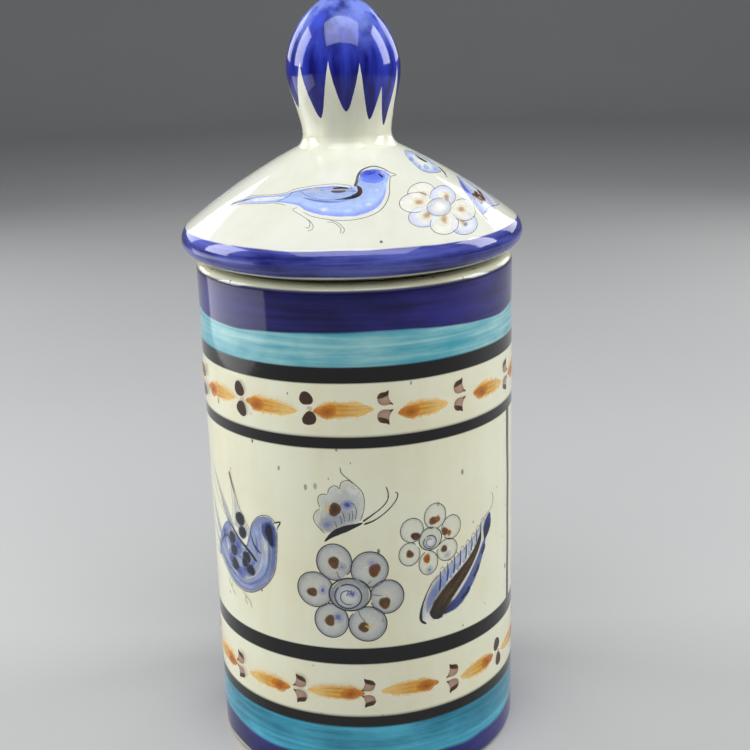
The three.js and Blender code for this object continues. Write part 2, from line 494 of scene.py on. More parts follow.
def closed_line(outline, width, colour, **how):
    """A thin line along a closed outline."""
    border = smooth_curve(outline, 60, closed=True)
    return stroke(np.vstack([border, border[:1]]), width, colour, ends=(0.01, 0.01), **how)


class Painting(list):
    """Brush marks in the order in which they are laid, the first one lowest."""

    def stroke(self, *where, **how):
        self.append(stroke(*where, **how))

    def blot(self, *where, **how):
        self.append(blot(*where, **how))

    def wash(self, *where, **how):
        self.append(wash(*where, **how))

    def blade(self, *where, **how):
        self.append(blade(*where, **how))

    def round_line(self, *where, **how):
        self.append(round_line(*where, **how))

    def closed_line(self, *where, **how):
        self.append(closed_line(*where, **how))


def placed(marks, about, at, turn=0.0, flip=False):
    """The same marks somewhere else on the sheet: taken about one point, flipped left to right, turned and
    moved to another point."""
    c, s = math.cos(math.radians(turn)), math.sin(math.radians(turn))
    matrix = np.array([[-c if flip else c, -s], [-s if flip else s, c]])
    return [{**m, "flat": (m["flat"] - about) @ matrix.T + at} for m in marks]


def turned_on_lid(marks, degrees):
    """The lid's marks turned about its axis."""
    moved = []
    for m in marks:
        flat = m["flat"]
        shift = math.radians(degrees) * skin_radius(flat[..., 1])
        moved.append({**m, "flat": flat + np.stack([shift, 0 * shift], -1)})
    return moved


FIRST_LIFT = 0.04  # height of a piece's first brush mark above the glaze
NEXT_LIFT = 0.005  # height of each further mark above the one before


def painted(name, marks, wrap, body):
    """One piece from brush marks, each a hair above the one before, wrapped onto the jar or the lid."""
    corners, faces = [], []
    total = 0
    for number, m in enumerate(marks):
        flat = m["flat"]
        rows, columns = flat.shape[:2]
        corners.append(wrap(flat, FIRST_LIFT + NEXT_LIFT * number).reshape(-1, 3))
        i, j = np.meshgrid(
            np.arange(rows if m["closed"] else rows - 1), np.arange(columns - 1), indexing="ij",
        )
        on = (i + 1) % rows
        quads = [i * columns + j, on * columns + j, on * columns + j + 1, i * columns + j + 1]
        first, last = flat[:-1, :-1], flat[1:, 1:] - flat[:-1, :-1]
        other = flat[:-1, 1:] - flat[1:, :-1]
        outward = (last[..., 0] * other[..., 1] - last[..., 1] * other[..., 0]).sum() > 0
        faces.append(np.stack(quads if outward else quads[::-1], -1).reshape(-1, 4) + total)
        total += rows * columns
    piece = mesh_piece(name, np.vstack(corners), np.vstack(faces).tolist(), materials["brush_paint"])
    kinds = {"pigment": "FLOAT_COLOR", "edge": "FLOAT", "grain": "FLOAT_VECTOR", "streaks": "FLOAT"}
    for label, kind in kinds.items():
        store(piece.data, label, kind, np.concatenate([m[label].ravel() for m in marks]))
    piece.visible_shadow = False
    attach(piece, body)
    return piece


# ---- Shader groups ----


def add(tree, kind, settings=None, **inputs):
    """Adds a node, sets its properties, and links or sets its inputs. An input is given by its name, with _
    for a space, or by n and its number."""
    made = tree.nodes.new("ShaderNode" + kind)
    for key, value in (settings or {}).items():
        setattr(made, key, value)
    for key, value in inputs.items():
        socket = made.inputs[int(key[1:]) if key[0] == "n" and key[1:].isdigit() else key.replace("_", " ")]
        if isinstance(value, bpy.types.NodeSocket):
            tree.links.new(value, socket)
        elif isinstance(value, np.ndarray) and socket.type == "RGBA":
            socket.default_value = (*value, 1)
        else:
            socket.default_value = value
    return made


def sums(tree, operation, first, second=0.0, third=0.0):
    """One arithmetic step."""
    return add(tree, "Math", {"operation": operation}, n0=first, n1=second, n2=third).outputs[0]


def mixed(tree, share, first, second, how="MIX"):
    """Two colours mixed by a share."""
    made = add(tree, "Mix", {"data_type": "RGBA", "blend_type": how}, n0=share, n6=first, n7=second)
    return made.outputs[2]


def ramped(tree, value, low, high, out_low=0.0, out_high=1.0):
    """A smooth step from one value to another between two limits."""
    settings = {"interpolation_type": "SMOOTHSTEP", "clamp": True}
    made = add(tree, "MapRange", settings, n0=value, n1=low, n2=high, n3=out_low, n4=out_high)
    return made.outputs[0]


def group(name, inputs, outputs):
    """An empty shader group with named sockets, and its inner ends."""
    tree = bpy.data.node_groups.new(name, "ShaderNodeTree")
    for label, kind, start in inputs:
        socket = tree.interface.new_socket(name=label, in_out="INPUT", socket_type="NodeSocket" + kind)
        if start is not None:
            socket.default_value = start
    for label, kind in outputs:
        tree.interface.new_socket(name=label, in_out="OUTPUT", socket_type="NodeSocket" + kind)
    return tree, tree.nodes.new("NodeGroupInput"), tree.nodes.new("NodeGroupOutput")


def placed_group(tree, name, **inputs):
    """Puts a shader group into a material."""
    made = tree.nodes.new("ShaderNodeGroup")
    made.node_tree = bpy.data.node_groups[name]
    for key, value in inputs.items():
        socket = made.inputs[key.replace("_", " ")]
        if isinstance(value, bpy.types.NodeSocket):
            tree.links.new(value, socket)
        else:
            socket.default_value = (*value, 1) if isinstance(value, np.ndarray) else value
    return made


def make_glaze_skin():
    """The melted surface: long soft waves, a fine orange peel, and gloss that varies with them."""
    inputs = [("Vector", "Vector", None)]
    tree, ends_in, ends_out = group("glaze_skin", inputs, [("Height", "Float"), ("Roughness", "Float")])
    place = ends_in.outputs["Vector"]
    waves = add(tree, "TexNoise", Vector=place, Scale=26.0, Detail=1.0).outputs["Fac"]
    peel = add(tree, "TexNoise", Vector=place, Scale=420.0, Detail=1.5).outputs["Fac"]
    height = sums(tree, "MULTIPLY_ADD", peel, 0.035, waves)
    patches = add(tree, "TexNoise", Vector=place, Scale=60.0, Detail=3.0).outputs["Fac"]
    wear_and_painted_glare = ramped(tree, patches, 0.45, 0.8, 0.0, 0.03)
    tree.links.new(height, ends_out.inputs["Height"])
    tree.links.new(sums(tree, "ADD", wear_and_painted_glare, 0.07), ends_out.inputs["Roughness"])


def make_glaze_colour():
    """Opaque cream glaze: two near tones in soft clouds, faint runs down the wall, and a few dark specks."""
    inputs = [
        ("Vector", "Vector", None),
        ("Tone", "Color", None),
        ("Warm Tone", "Color", None),
        ("Speck Share", "Float", 0.06),
    ]
    tree, ends_in, ends_out = group("glaze_colour", inputs, [("Color", "Color")])
    place = ends_in.outputs["Vector"]
    clouds = add(tree, "TexNoise", Vector=place, Scale=22.0, Detail=4.0, Roughness=0.6).outputs["Fac"]
    runs_place = add(tree, "Mapping", Vector=place, Scale=(170, 170, 9)).outputs[0]
    runs = add(tree, "TexNoise", Vector=runs_place, Scale=1.0, Detail=2.0).outputs["Fac"]
    both = sums(tree, "MULTIPLY_ADD", sums(tree, "SUBTRACT", runs, 0.5), 0.35, clouds)
    base = mixed(
        tree, ramped(tree, both, 0.35, 0.72), ends_in.outputs["Tone"], ends_in.outputs["Warm Tone"],
    )
    tall = add(tree, "Mapping", Vector=place, Scale=(1, 1, 0.55)).outputs[0]
    cells = add(tree, "TexVoronoi", Vector=tall, Scale=210.0)
    pick = add(tree, "SeparateColor", Color=cells.outputs["Color"])
    span = sums(tree, "MULTIPLY_ADD", pick.outputs[2], 1.0, 0.35)
    near = ramped(tree, sums(tree, "DIVIDE", cells.outputs["Distance"], span), 0.08, 0.15, 1.0, 0.0)
    chosen = sums(tree, "LESS_THAN", pick.outputs[0], ends_in.outputs["Speck Share"])
    strength = sums(tree, "MULTIPLY_ADD", pick.outputs[1], 0.5, 0.45)
    specks = sums(tree, "MULTIPLY", sums(tree, "MULTIPLY", near, chosen), strength)
    tree.links.new(mixed(tree, specks, base, SPECK), ends_out.inputs["Color"])


def make_turned_streaks():
    """Streaks that a full brush leaves on a turning pot: long round the axis, fine up and down."""
    inputs = [("Vector", "Vector", None), ("Fineness", "Float", 1.0)]
    tree, ends_in, ends_out = group("turned_streaks", inputs, [("Fac", "Float")])
    stretch = add(tree, "Mapping", Vector=ends_in.outputs["Vector"], Scale=(15, 15, 420)).outputs[0]
    fineness = ends_in.outputs["Fineness"]
    fine = add(tree, "TexNoise", Vector=stretch, Scale=fineness, Detail=5.0, Roughness=0.62).outputs["Fac"]
    broad_place = add(tree, "Mapping", Vector=ends_in.outputs["Vector"], Scale=(24, 24, 60)).outputs[0]
    broad = add(tree, "TexNoise", Vector=broad_place, Scale=1.0, Detail=4.0, Roughness=0.6).outputs["Fac"]
    both = sums(tree, "MULTIPLY_ADD", fine, 0.45, sums(tree, "MULTIPLY", broad, 0.55))
    tree.links.new(ramped(tree, both, 0.34, 0.72), ends_out.inputs["Fac"])


def new_material(name):
    """A material, its nodes, its Principled shader, and the place on the piece."""
    material = bpy.data.materials.new(name)
    material.use_nodes = True
    tree = material.node_tree
    return material, tree, tree.nodes["Principled BSDF"], add(tree, "TexCoord").outputs["Object"]


def cream_glaze(tree, place, tone, warm_tone, specks):
    """The cream glaze's colour, with a share of its cells specked."""
    made = placed_group(
        tree, "glaze_colour", Vector=place, Tone=tone, Warm_Tone=warm_tone, Speck_Share=specks,
    )
    return made.outputs[0]


def clay_tone(tree, place):
    """Fired clay's buff, in soft clouds of two near tones."""
    clouds = add(tree, "TexNoise", Vector=place, Scale=45.0, Detail=3.0).outputs[0]
    return mixed(tree, ramped(tree, clouds, 0.35, 0.7), BARE_CLAY, BARE_CLAY_DEEP)


def brush_wander(tree, place, scale):
    """How far a band's edge strays from level, from -0.5 to 0.5, in waves that are longer round the pot."""
    stretched = add(tree, "Mapping", Vector=place, Scale=scale).outputs[0]
    waves = add(tree, "TexNoise", Vector=stretched, Detail=2.0, Scale=1.0).outputs[0]
    return sums(tree, "SUBTRACT", waves, 0.5)


def finish_glaze(tree, shader, place, colour):
    """Gives a shader the glaze's colour, gloss and gently waved surface."""
    skin = placed_group(tree, "glaze_skin", Vector=place)
    bump = add(tree, "Bump", Strength=1.0, Distance=0.00032, Height=skin.outputs["Height"])
    tree.links.new(bump.outputs[0], shader.inputs["Normal"])
    tree.links.new(skin.outputs["Roughness"], shader.inputs["Roughness"])
    tree.links.new(colour, shader.inputs["Base Color"])
    shader.inputs["IOR"].default_value = 1.42
    shader.inputs["Coat Weight"].default_value = 0.04
    shader.inputs["Coat Roughness"].default_value = 0.03


def radius_and_height(tree, place):
    """Distance from the axis and height, in millimetres."""
    split = add(tree, "SeparateXYZ", Vector=place)
    x, y, z = split.outputs
    squares = sums(tree, "ADD", sums(tree, "MULTIPLY", x, x), sums(tree, "MULTIPLY", y, y))
    radius = sums(tree, "MULTIPLY", sums(tree, "SQRT", squares), 1000.0)
    return radius, sums(tree, "MULTIPLY", z, 1000.0)


def stops(ramp, places):
    """Fills a colour ramp from (place, colour) pairs."""
    while len(ramp.elements) > 1:
        ramp.elements.remove(ramp.elements[-1])
    ramp.elements[0].position = places[0][0]
    ramp.elements[0].color = (*places[0][1], 1)
    for place, colour in places[1:]:
        ramp.elements.new(place).color = (*colour, 1)


def painted_wall_material():
    """The jar's wall: bands of pigment between cream fields, each laid with a loaded brush on the wheel."""
    material, tree, shader, place = new_material("painted_wall_glaze")
    radius, height = radius_and_height(tree, place)
    wander = brush_wander(tree, place, (14, 14, 30))
    full = JAR_HEIGHT + 3
    # This ramp's grey is how loosely a band's edge was laid at that height.
    loose = add(tree, "ValToRGB", Fac=sums(tree, "DIVIDE", height, full))
    quiet, free = srgb(60, 60, 60), srgb(235, 235, 235)
    edges = [(LOW_COBALT_TOP, free), (LOW_TURQUOISE_TOP, quiet), (HIGH_BLACK_TOP + 2, quiet)]
    edges += [(HIGH_TURQUOISE_TOP, free), (HIGH_COBALT_TOP - 2, quiet)]
    stops(loose.color_ramp, [(0.0, free)] + [(z / full, c) for z, c in edges])
    amount = sums(tree, "MULTIPLY", add(tree, "SeparateColor", Color=loose.outputs[0]).outputs[0], 16.0)
    wobbled = sums(tree, "MULTIPLY_ADD", wander, amount, height)
    share = sums(tree, "DIVIDE", wobbled, full)
    bands = [
        (BARE_FOOT, BARE_CLAY, BARE_CLAY, 0.3),
        (LOW_COBALT_TOP, COBALT, COBALT_THIN, 0.9),
        (LOW_TURQUOISE_TOP, LOW_TURQUOISE, LOW_TURQUOISE_PALE, 0.2),
        (LOW_BLACK_TOP, BLACK, BLACK, 0.2),
        (LOW_ORNAMENT_TOP, None, None, 0.2),
        (PANEL_LOW, BLACK, BLACK, 0.2),
        (PANEL_HIGH, None, None, 0.2),
        (HIGH_ORNAMENT_LOW, BLACK, BLACK, 0.2),
        (HIGH_ORNAMENT_TOP, None, None, 0.2),
        (HIGH_BLACK_TOP, BLACK, BLACK, 0.2),
        (HIGH_TURQUOISE_TOP, TURQUOISE, TURQUOISE_PALE, 0.9),
        (HIGH_COBALT_TOP, COBALT, COBALT_THIN, 0.5),
        (full, None, None, 0.5),
    ]
    dense, thin, bare = (add(tree, "ValToRGB", Fac=share) for _ in range(3))
    low = 0.0
    tables = [[], [], []]
    for high, full_colour, thin_colour, soft in bands:
        painted_here = full_colour is not None
        colours = (
            full_colour if painted_here else CREAM,
            thin_colour if painted_here else CREAM,
            np.ones(3) * (0.0 if painted_here else 1.0),
        )
        for table, colour in zip(tables, colours):
            table += [((low + soft / 2) / full, colour), ((high - soft / 2) / full, colour)]
        low = high
    for ramp, table in zip((dense, thin, bare), tables):
        stops(ramp.color_ramp, table)
    streaks = placed_group(tree, "turned_streaks", Vector=place, Fineness=1.0).outputs["Fac"]
    pigment = mixed(tree, streaks, dense.outputs[0], thin.outputs[0])
    cream = cream_glaze(tree, place, CREAM, CREAM_WARM, 0.5)
    outside = ramped(tree, radius, MOUTH_RADIUS + 4.5, MOUTH_RADIUS + 5.0)
    plain = sums(tree, "SUBTRACT", 1.0, outside)
    bare_share = add(tree, "SeparateColor", Color=bare.outputs[0]).outputs[0]
    share_of_cream = sums(tree, "MAXIMUM", bare_share, plain)
    finish_glaze(tree, shader, place, mixed(tree, share_of_cream, pigment, cream))
    return material


def lid_material():
    """The lid's dome: cream glaze with a cobalt band brushed round the rolled rim."""
    material, tree, shader, place = new_material("lid_glaze")
    radius, height = radius_and_height(tree, place)
    wander = brush_wander(tree, place, (22, 22, 40))
    wobbled = sums(tree, "MULTIPLY_ADD", wander, 2.4, height)
    above = ramped(tree, wobbled, LIP_Z + 1.7, LIP_Z + 2.1)
    below = ramped(tree, wobbled, LIP_Z + 11.9, LIP_Z + 12.4, 1.0, 0.0)
    outside = ramped(tree, radius, LIP_RADIUS, LIP_RADIUS + 0.5)
    band = sums(tree, "MULTIPLY", sums(tree, "MULTIPLY", above, below), outside)
    streaks = placed_group(tree, "turned_streaks", Vector=place, Fineness=1.2).outputs["Fac"]
    cobalt = mixed(tree, streaks, RIM_COBALT, RIM_THIN)
    cream = cream_glaze(tree, place, LID_CREAM, LID_WARM, 0.1)
    finish_glaze(tree, shader, place, mixed(tree, band, cream, cobalt))
    return material


def finial_material():
    """The finial: cobalt from the tip down, running into the cream in tongues, with a painted glare near its
    top.
    """
    material, tree, shader, place = new_material("finial_glaze")
    height = add(tree, "Attribute", {"attribute_name": "above_tongues"}).outputs["Fac"]
    rough_edge = add(tree, "TexNoise", Vector=place, Scale=260.0, Detail=2.0).outputs[0]
    reach = sums(tree, "MULTIPLY_ADD", sums(tree, "SUBTRACT", rough_edge, 0.5), 1.4, height)
    blue = ramped(tree, reach, -0.35, 0.35)
    drag_place = add(tree, "Mapping", Vector=place, Scale=(160, 160, 28)).outputs[0]
    drag = add(tree, "TexNoise", Vector=drag_place, Scale=1.0, Detail=3.0).outputs[0]
    above_table = radius_and_height(tree, place)[1]
    # The cobalt turns lighter towards the tip: partly thinner glaze, partly a painted highlight.
    top = ramped(tree, above_table, BELLY_Z - 4, TIP_Z - 8, 0.0, 0.4)
    thin = ramped(tree, sums(tree, "ADD", drag, sums(tree, "MULTIPLY", top, 0.3)), 0.42, 0.8)
    cobalt = mixed(tree, thin, FINIAL_COBALT, FINIAL_THIN)
    # A painted highlight: mottled pale blue glare on the bud above its belly, strongest below the tip.
    glare_mottle = add(tree, "TexNoise", Vector=place, Scale=95.0, Detail=3.0).outputs[0]
    zone = ramped(tree, above_table, BELLY_Z + 4, TIP_Z - 6)
    wear_and_painted_glare = sums(tree, "MULTIPLY", zone, ramped(tree, glare_mottle, 0.4, 0.62, 0.8, 0.1))
    cobalt = mixed(tree, wear_and_painted_glare, cobalt, FINIAL_PAINTED_GLARE)
    cream = cream_glaze(tree, place, CREAM, LID_WARM, 0.04)
    finish_glaze(tree, shader, place, mixed(tree, blue, cream, cobalt))
    return material


def bare_clay_material():
    """Fired clay without glaze: fine grit, turning rings and a dry surface."""
    material, tree, shader, place = new_material("bare_clay")
    grit = add(tree, "TexNoise", Vector=place, Scale=1100.0, Detail=3.0).outputs[0]
    gritty = ramped(tree, grit, 0.58, 0.72, 0.0, 0.35)
    colour = mixed(tree, gritty, clay_tone(tree, place), GRIT)
    rings = placed_group(tree, "turned_streaks", Vector=place, Fineness=1.6).outputs["Fac"]
    height = sums(tree, "MULTIPLY_ADD", rings, 0.6, grit)
    bump = add(tree, "Bump", Strength=0.6, Distance=0.00015, Height=height)
    tree.links.new(bump.outputs[0], shader.inputs["Normal"])
    tree.links.new(colour, shader.inputs["Base Color"])
    tree.links.new(ramped(tree, grit, 0.3, 0.7, 0.72, 0.88), shader.inputs["Roughness"])
    return material


def floor_disc_material():
    """The jar's floor: glazed cream on top like the wall round it, and bare clay underneath."""
    material, tree, shader, place = new_material("floor_disc_glaze")
    height = radius_and_height(tree, place)[1]
    glazed = ramped(tree, height, floor_low.z + 2.0, floor_low.z + 3.0)
    cream = cream_glaze(tree, place, CREAM, CREAM_WARM, 0.5)
    finish_glaze(tree, shader, place, mixed(tree, glazed, clay_tone(tree, place), cream))
    gloss = shader.inputs["Roughness"].links[0].from_socket
    roughness = sums(tree, "MULTIPLY_ADD", sums(tree, "SUBTRACT", 1.0, glazed), 0.7, gloss)
    tree.links.new(roughness, shader.inputs["Roughness"])
    return material


def brush_paint_material():
    """Pigment under the glaze: each mark's own colour, streaked along the brush, soft and a little ragged at
    its edge."""
    material, tree, shader, place = new_material("brush_paint")
    pigment = add(tree, "Attribute", {"attribute_name": "pigment"})
    edge = add(tree, "Attribute", {"attribute_name": "edge"}).outputs["Fac"]
    grain = add(tree, "Attribute", {"attribute_name": "grain"}).outputs["Vector"]
    strength = add(tree, "Attribute", {"attribute_name": "streaks"}).outputs["Fac"]
    drawn = add(tree, "Mapping", Vector=grain, Scale=(0.1, 1.6, 1)).outputs[0]
    streaks = add(tree, "TexNoise", Vector=drawn, Scale=1.0, Detail=4.0, Roughness=0.65).outputs["Fac"]
    mottle = add(tree, "TexNoise", Vector=place, Scale=380.0, Detail=4.0, Roughness=0.6).outputs["Fac"]
    streaky = sums(tree, "MULTIPLY", sums(tree, "SUBTRACT", streaks, 0.5), strength)
    mottled = sums(tree, "SUBTRACT", mottle, 0.5)
    streaked = sums(tree, "MULTIPLY_ADD", streaky, 1.5, 1.0)
    shade = sums(tree, "ADD", streaked, sums(tree, "MULTIPLY", mottled, 0.45))
    tint = add(tree, "CombineColor", Red=shade, Green=shade, Blue=shade).outputs[0]
    colour = mixed(tree, 1.0, pigment.outputs["Color"], tint, "MULTIPLY")
    ragged = sums(tree, "MULTIPLY_ADD", mottled, 0.7, sums(tree, "MULTIPLY_ADD", streaky, 0.1, edge))
    shown = sums(tree, "MULTIPLY", ramped(tree, ragged, 0.1, 0.8), ramped(tree, edge, 0.0, 0.2))
    tree.links.new(sums(tree, "MULTIPLY", shown, pigment.outputs["Alpha"]), shader.inputs["Alpha"])
    finish_glaze(tree, shader, place, colour)
    return material


def floor_material():
    """Matt pale paper with hardly visible clouds."""
    material, tree, shader, place = new_material("pale_floor")
    clouds = add(tree, "TexNoise", Vector=place, Scale=3.0, Detail=3.0).outputs[0]
    tone = mixed(tree, clouds, PALE_PAPER, PALE_PAPER_WARM)
    tree.links.new(tone, shader.inputs["Base Color"])
    shader.inputs["Roughness"].default_value = 0.75
    return material


def make_floor():
    """A round cove: a flat disc that turns up into a low wall, so that every view has a plain ground."""
    reach, bend, top, sides = 2600, 900, 1500.0, 96
    flat = line((0, 0), (reach, 0), 12)
    rise = arc((reach, bend), (bend, bend), -90, 0, 16)
    profile = np.vstack([flat, rise, [[reach + bend, top]]])
    angle = np.arange(sides) * TURN / sides
    radius = profile[:, 0][:, None]
    height = np.repeat(profile[:, 1][:, None], sides, 1)
    corners = np.stack([radius * np.sin(angle), -radius * np.cos(angle), height], -1).reshape(-1, 3)
    j, i = np.meshgrid(np.arange(len(profile) - 1), np.arange(sides), indexing="ij")
    on = (i + 1) % sides
    quads = [j * sides + i, (j + 1) * sides + i, (j + 1) * sides + on, j * sides + on]
    quads = np.stack(quads, -1).reshape(-1, 4)
    cove = mesh_piece("floor", corners, quads.tolist(), floor_material())


# ---- Turned pieces ----


def make_jar():
    """The thrown wall with its rounded rim and foot, and the floor disc, which dips towards its middle."""
    outer = line((JAR_RADIUS, FOOT_ROUND), (JAR_RADIUS, JAR_HEIGHT - RIM_ROUND), 60)
    profile = np.vstack(
        [
            line((MOUTH_RADIUS, 0), (JAR_RADIUS - FOOT_ROUND, 0), 4),
            arc((JAR_RADIUS - FOOT_ROUND, FOOT_ROUND), (FOOT_ROUND, FOOT_ROUND), -90, 0, 8)[:-1],
            outer,
            arc((JAR_RADIUS - RIM_ROUND, JAR_HEIGHT - RIM_ROUND), (RIM_ROUND, RIM_ROUND), 0, 90, 10),
            arc(
                (MOUTH_RADIUS + RIM_INNER_ROUND, JAR_HEIGHT - RIM_INNER_ROUND),
                (RIM_INNER_ROUND, RIM_INNER_ROUND),
                90,
                180,
                5,
            ),
            line((MOUTH_RADIUS, JAR_HEIGHT - RIM_INNER_ROUND - 4), (MOUTH_RADIUS, 0), 30),
        ]
    )
    wall = revolved("jar_wall_glazed", profile, 288, materials["painted_wall"], jar_unevenness)
    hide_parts("jar_wall")
    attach(wall, "jar")

    low, high, reach, dip = floor_low.z, floor_high.z, floor_high.x - 0.2, 1.5
    disc = np.vstack(
        [
            line((0, low), (reach - 1, low), 10),
            arc((reach - 0.8, low + 0.8), (0.8, 0.8), -90, 0, 3),
            [[reach, high]],
            line((reach - 0.2, high), (0, high - dip), 16),
            [[0, high - dip]],
        ]
    )
    floor = revolved("jar_floor_disc", disc, 192, materials["floor_disc"])
    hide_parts("jar_floor")
    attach(floor, "jar")


def make_lid():
    """The dome from its seat round the rolled rim to the finial, and the ring luted under it."""
    inner = dome_arc(LID_THICKNESS, 40)
    inner = inner[(inner[:, 0] < BORE_RADIUS - 0.6) & (inner[:, 0] > VENT_RADIUS)][::-1]
    bore_top = np.interp(BORE_RADIUS, *dome_arc(LID_THICKNESS, 80)[::-1].T)
    profile = np.vstack(
        [
            [[BORE_RADIUS, SEAT_Z]],
            [[SEAT_RADIUS - 0.3, SEAT_Z], [SEAT_RADIUS, SEAT_Z + 0.3]],
            roll_and_dome(3),
            [[VENT_RADIUS, dome_high.z]],
            [[VENT_RADIUS, inner[0, 1]]],
            inner,
            [[BORE_RADIUS, bore_top]],
        ]
    )
    dome = revolved("lid_dome_glazed", profile, 288, materials["lid"], lid_unevenness)
    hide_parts("lid_dome")
    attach(dome, "lid")

    outer, inside, low = ring_high.x, ring_high.x - RING_THICKNESS, ring_low.z
    under = dome_arc(LID_THICKNESS + SLIP_JOINT, 80)[::-1]
    outer_top, inner_top = (np.interp(r, under[:, 0], under[:, 1]) for r in (outer, inside))
    section = np.vstack(
        [
            arc((inside + RING_ROUND, low + RING_ROUND), (RING_ROUND, RING_ROUND), 180, 270, 5),
            arc((outer - RING_ROUND, low + RING_ROUND), (RING_ROUND, RING_ROUND), -90, 0, 5),
            line((outer, low + 3), (outer, outer_top), 8),
            [[outer, outer_top]],
            [[inside, inner_top]],
        ]
    )
    ring = revolved("lid_locating_ring_turned", section, 192, materials["bare_clay"], lid_unevenness)
    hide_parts("lid_locating_ring")
    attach(ring, "lid")


# Where the cream shows highest between the finial's tongues, in degrees from the front, how high it reaches
# above the finial's foot, and how low the tongue after it hangs.
TONGUES = (
    (-50, 32, 11),
    (-19, 32.5, 13.5),
    (11, 31.5, 10),
    (37, 22.5, 7),
    (64, 30, 11),
    (94, 32, 9),
    (123, 27, 12),
    (152, 32, 10),
    (183, 30, 8),
    (213, 33, 12),
    (243, 28, 10),
    (272, 31, 14.5),
)


def tongue_edge(angle):
    """The height of the blue's lower edge: from each cream point it falls to a rounded tongue half way to the
    next one and rises again, as the 1.7th power of the distance from the tongue's middle."""
    degrees = np.degrees(angle)
    starts = np.array([t[0] for t in TONGUES], float)
    since = (degrees[..., None] - starts) % 360
    k = since.argmin(-1)
    after = (k + 1) % len(TONGUES)
    width = (starts[after] - starts[k]) % 360
    share = since.min(-1) / width
    peaks = np.array([t[1] for t in TONGUES])
    hang = np.array([t[2] for t in TONGUES])
    peak = np.where(share < 0.5, peaks[k], peaks[after])
    return finial_low.z + hang[k] + (peak - hang[k]) * np.abs(2 * share - 1) ** 1.7


def make_finial():
    """The hollow bud: an eased flank from its waist to its belly, a superellipse to its tip, and a fillet of
    slip round its foot that runs out into the dome."""
    waist = finial_low.z + NECK_HEIGHT
    rise = np.linspace(0, 1, 41)
    swell = NECK_RADIUS + (BELLY_RADIUS - NECK_RADIUS) * eased(rise)
    flank = np.stack([swell, waist + (BELLY_Z - waist) * rise], -1)
    angle = np.linspace(0, math.pi / 2, 41)[1:-1]
    tip = np.stack(
        [
            BELLY_RADIUS * np.cos(angle) ** (2 / BUD_FULLNESS),
            BELLY_Z + (TIP_Z - BELLY_Z) * np.sin(angle) ** (2 / BUD_FULLNESS),
        ],
        -1,
    )
    hollow = arc((0, BELLY_Z), (BELLY_RADIUS - FINIAL_WALL, TIP_Z - BELLY_Z - FINIAL_WALL), 90, 0, 16)
    hollow[0, 0] = 0
    feather = FINIAL_FOOT_RADIUS + FILLET
    on_dome = finial_low.z - FILLET * 0.5 - 0.45
    climb = np.linspace(0, 1, 15)[:-1]
    hollowed = NECK_RADIUS + (feather - NECK_RADIUS) * (1 - climb) ** 2.2
    fillet_top = waist + 1.2
    fillet = np.stack([hollowed, on_dome + (fillet_top - on_dome) * climb], -1)
    flank = flank[flank[:, 1] > fillet_top]
    foot = np.vstack(
        [
            [[VENT_RADIUS, waist], [VENT_RADIUS, finial_low.z]],
            line((VENT_RADIUS + 1, finial_low.z), (FINIAL_FOOT_RADIUS, finial_low.z), 6),
            [[FINIAL_FOOT_RADIUS, finial_low.z]],
            fillet,
        ]
    )
    profile = np.vstack([hollow, foot, flank, tip, [[0, TIP_Z]]])
    finial = revolved("lid_finial_glazed", profile, 360, materials["finial"], lid_unevenness)
    corners = np.empty(len(finial.data.vertices) * 3, np.float32)
    finial.data.vertices.foreach_get("co", corners)
    corners = corners.reshape(-1, 3) / MM
    above = corners[:, 2] - tongue_edge(np.arctan2(corners[:, 0], -corners[:, 1]))
    inside = np.hypot(corners[:, 0], corners[:, 1]) < NECK_RADIUS - 2
    low = corners[:, 2] < BELLY_Z + 5
    above = np.where(inside & low, -10, above)
    store(finial.data, "above_tongues", "FLOAT", above)
    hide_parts("lid_finial")
    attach(finial, "lid")


# ---- Motifs, in millimetres: round the jar from its front, and up from the table ----


def petal_flower(petals, dots, smudges, ring, heart, pen, fill, depth):
    """A flower of round petals: each is a thin wash that deepens to a dark outline. Over them come soft dabs
    and a ringed heart with a curl in it."""
    marks = Painting()
    for centre, radii in petals:
        marks.blot(
            centre, radii, GREY_WASH * 1.35, fill, soft=0.5, amount=depth * 0.62, rim_amount=depth,
            wander=0.02,
        )
    for centre, radii in petals:
        start = math.degrees(math.atan2(ring[0][1] - centre[1], ring[0][0] - centre[0])) + 20
        inner = (radii[0] * 0.93, radii[1] * 0.93)
        marks.round_line(centre, inner, pen * 3, GREY_WASH, start, start + 345, soft=1, amount=depth * 0.6)
        marks.round_line(centre, radii, pen, INK * 1.2, start, start + 345, amount=0.92)
    for at, radii, colour in smudges:
        marks.blot(at, np.add(radii, 0.9), colour, LAVENDER, soft=1.9, amount=0.9, rim_amount=0.4)
    for centre, radii, colour in dots:
        marks.blot(centre, np.add(radii, 0.6), RUST * 1.1, AMBER, soft=1.5, amount=0.6, rim_amount=0.2)
        marks.blot(centre, np.add(radii, 0.15), colour, colour * 1.35, soft=1.1, wander=0.1)
        aside = np.add(centre, (0.25, -0.2)) + hand.uniform(-0.6, 0.6)
        marks.blot(aside, np.multiply(radii, 0.55), RUST, RUST, soft=0.9, amount=0.45, wander=0.15)
    marks.blot(
        *ring, GREY_WASH * 1.1, GREY_WASH * 0.72, soft=0.4, amount=depth * 0.9, rim_amount=depth * 1.15,
    )
    marks.round_line(*ring, pen * 1.35, SLATE * 0.7, 70, 425)
    marks.blot(*heart, WHITE_WASH, GREY_WASH * 1.25, soft=0.5, amount=0.8)
    marks.round_line(*heart, pen * 1.2, SLATE * 0.75, 130, 486)
    turn = np.radians(np.linspace(-60, -330, 18))
    shrink = np.linspace(0.72, 0.4, 18) * np.mean(heart[1])
    curl = np.stack([heart[0][0] + shrink * np.cos(turn), heart[0][1] + shrink * np.sin(turn)], -1)
    marks.stroke(curl, pen, SLATE, amount=0.85)
    return marks


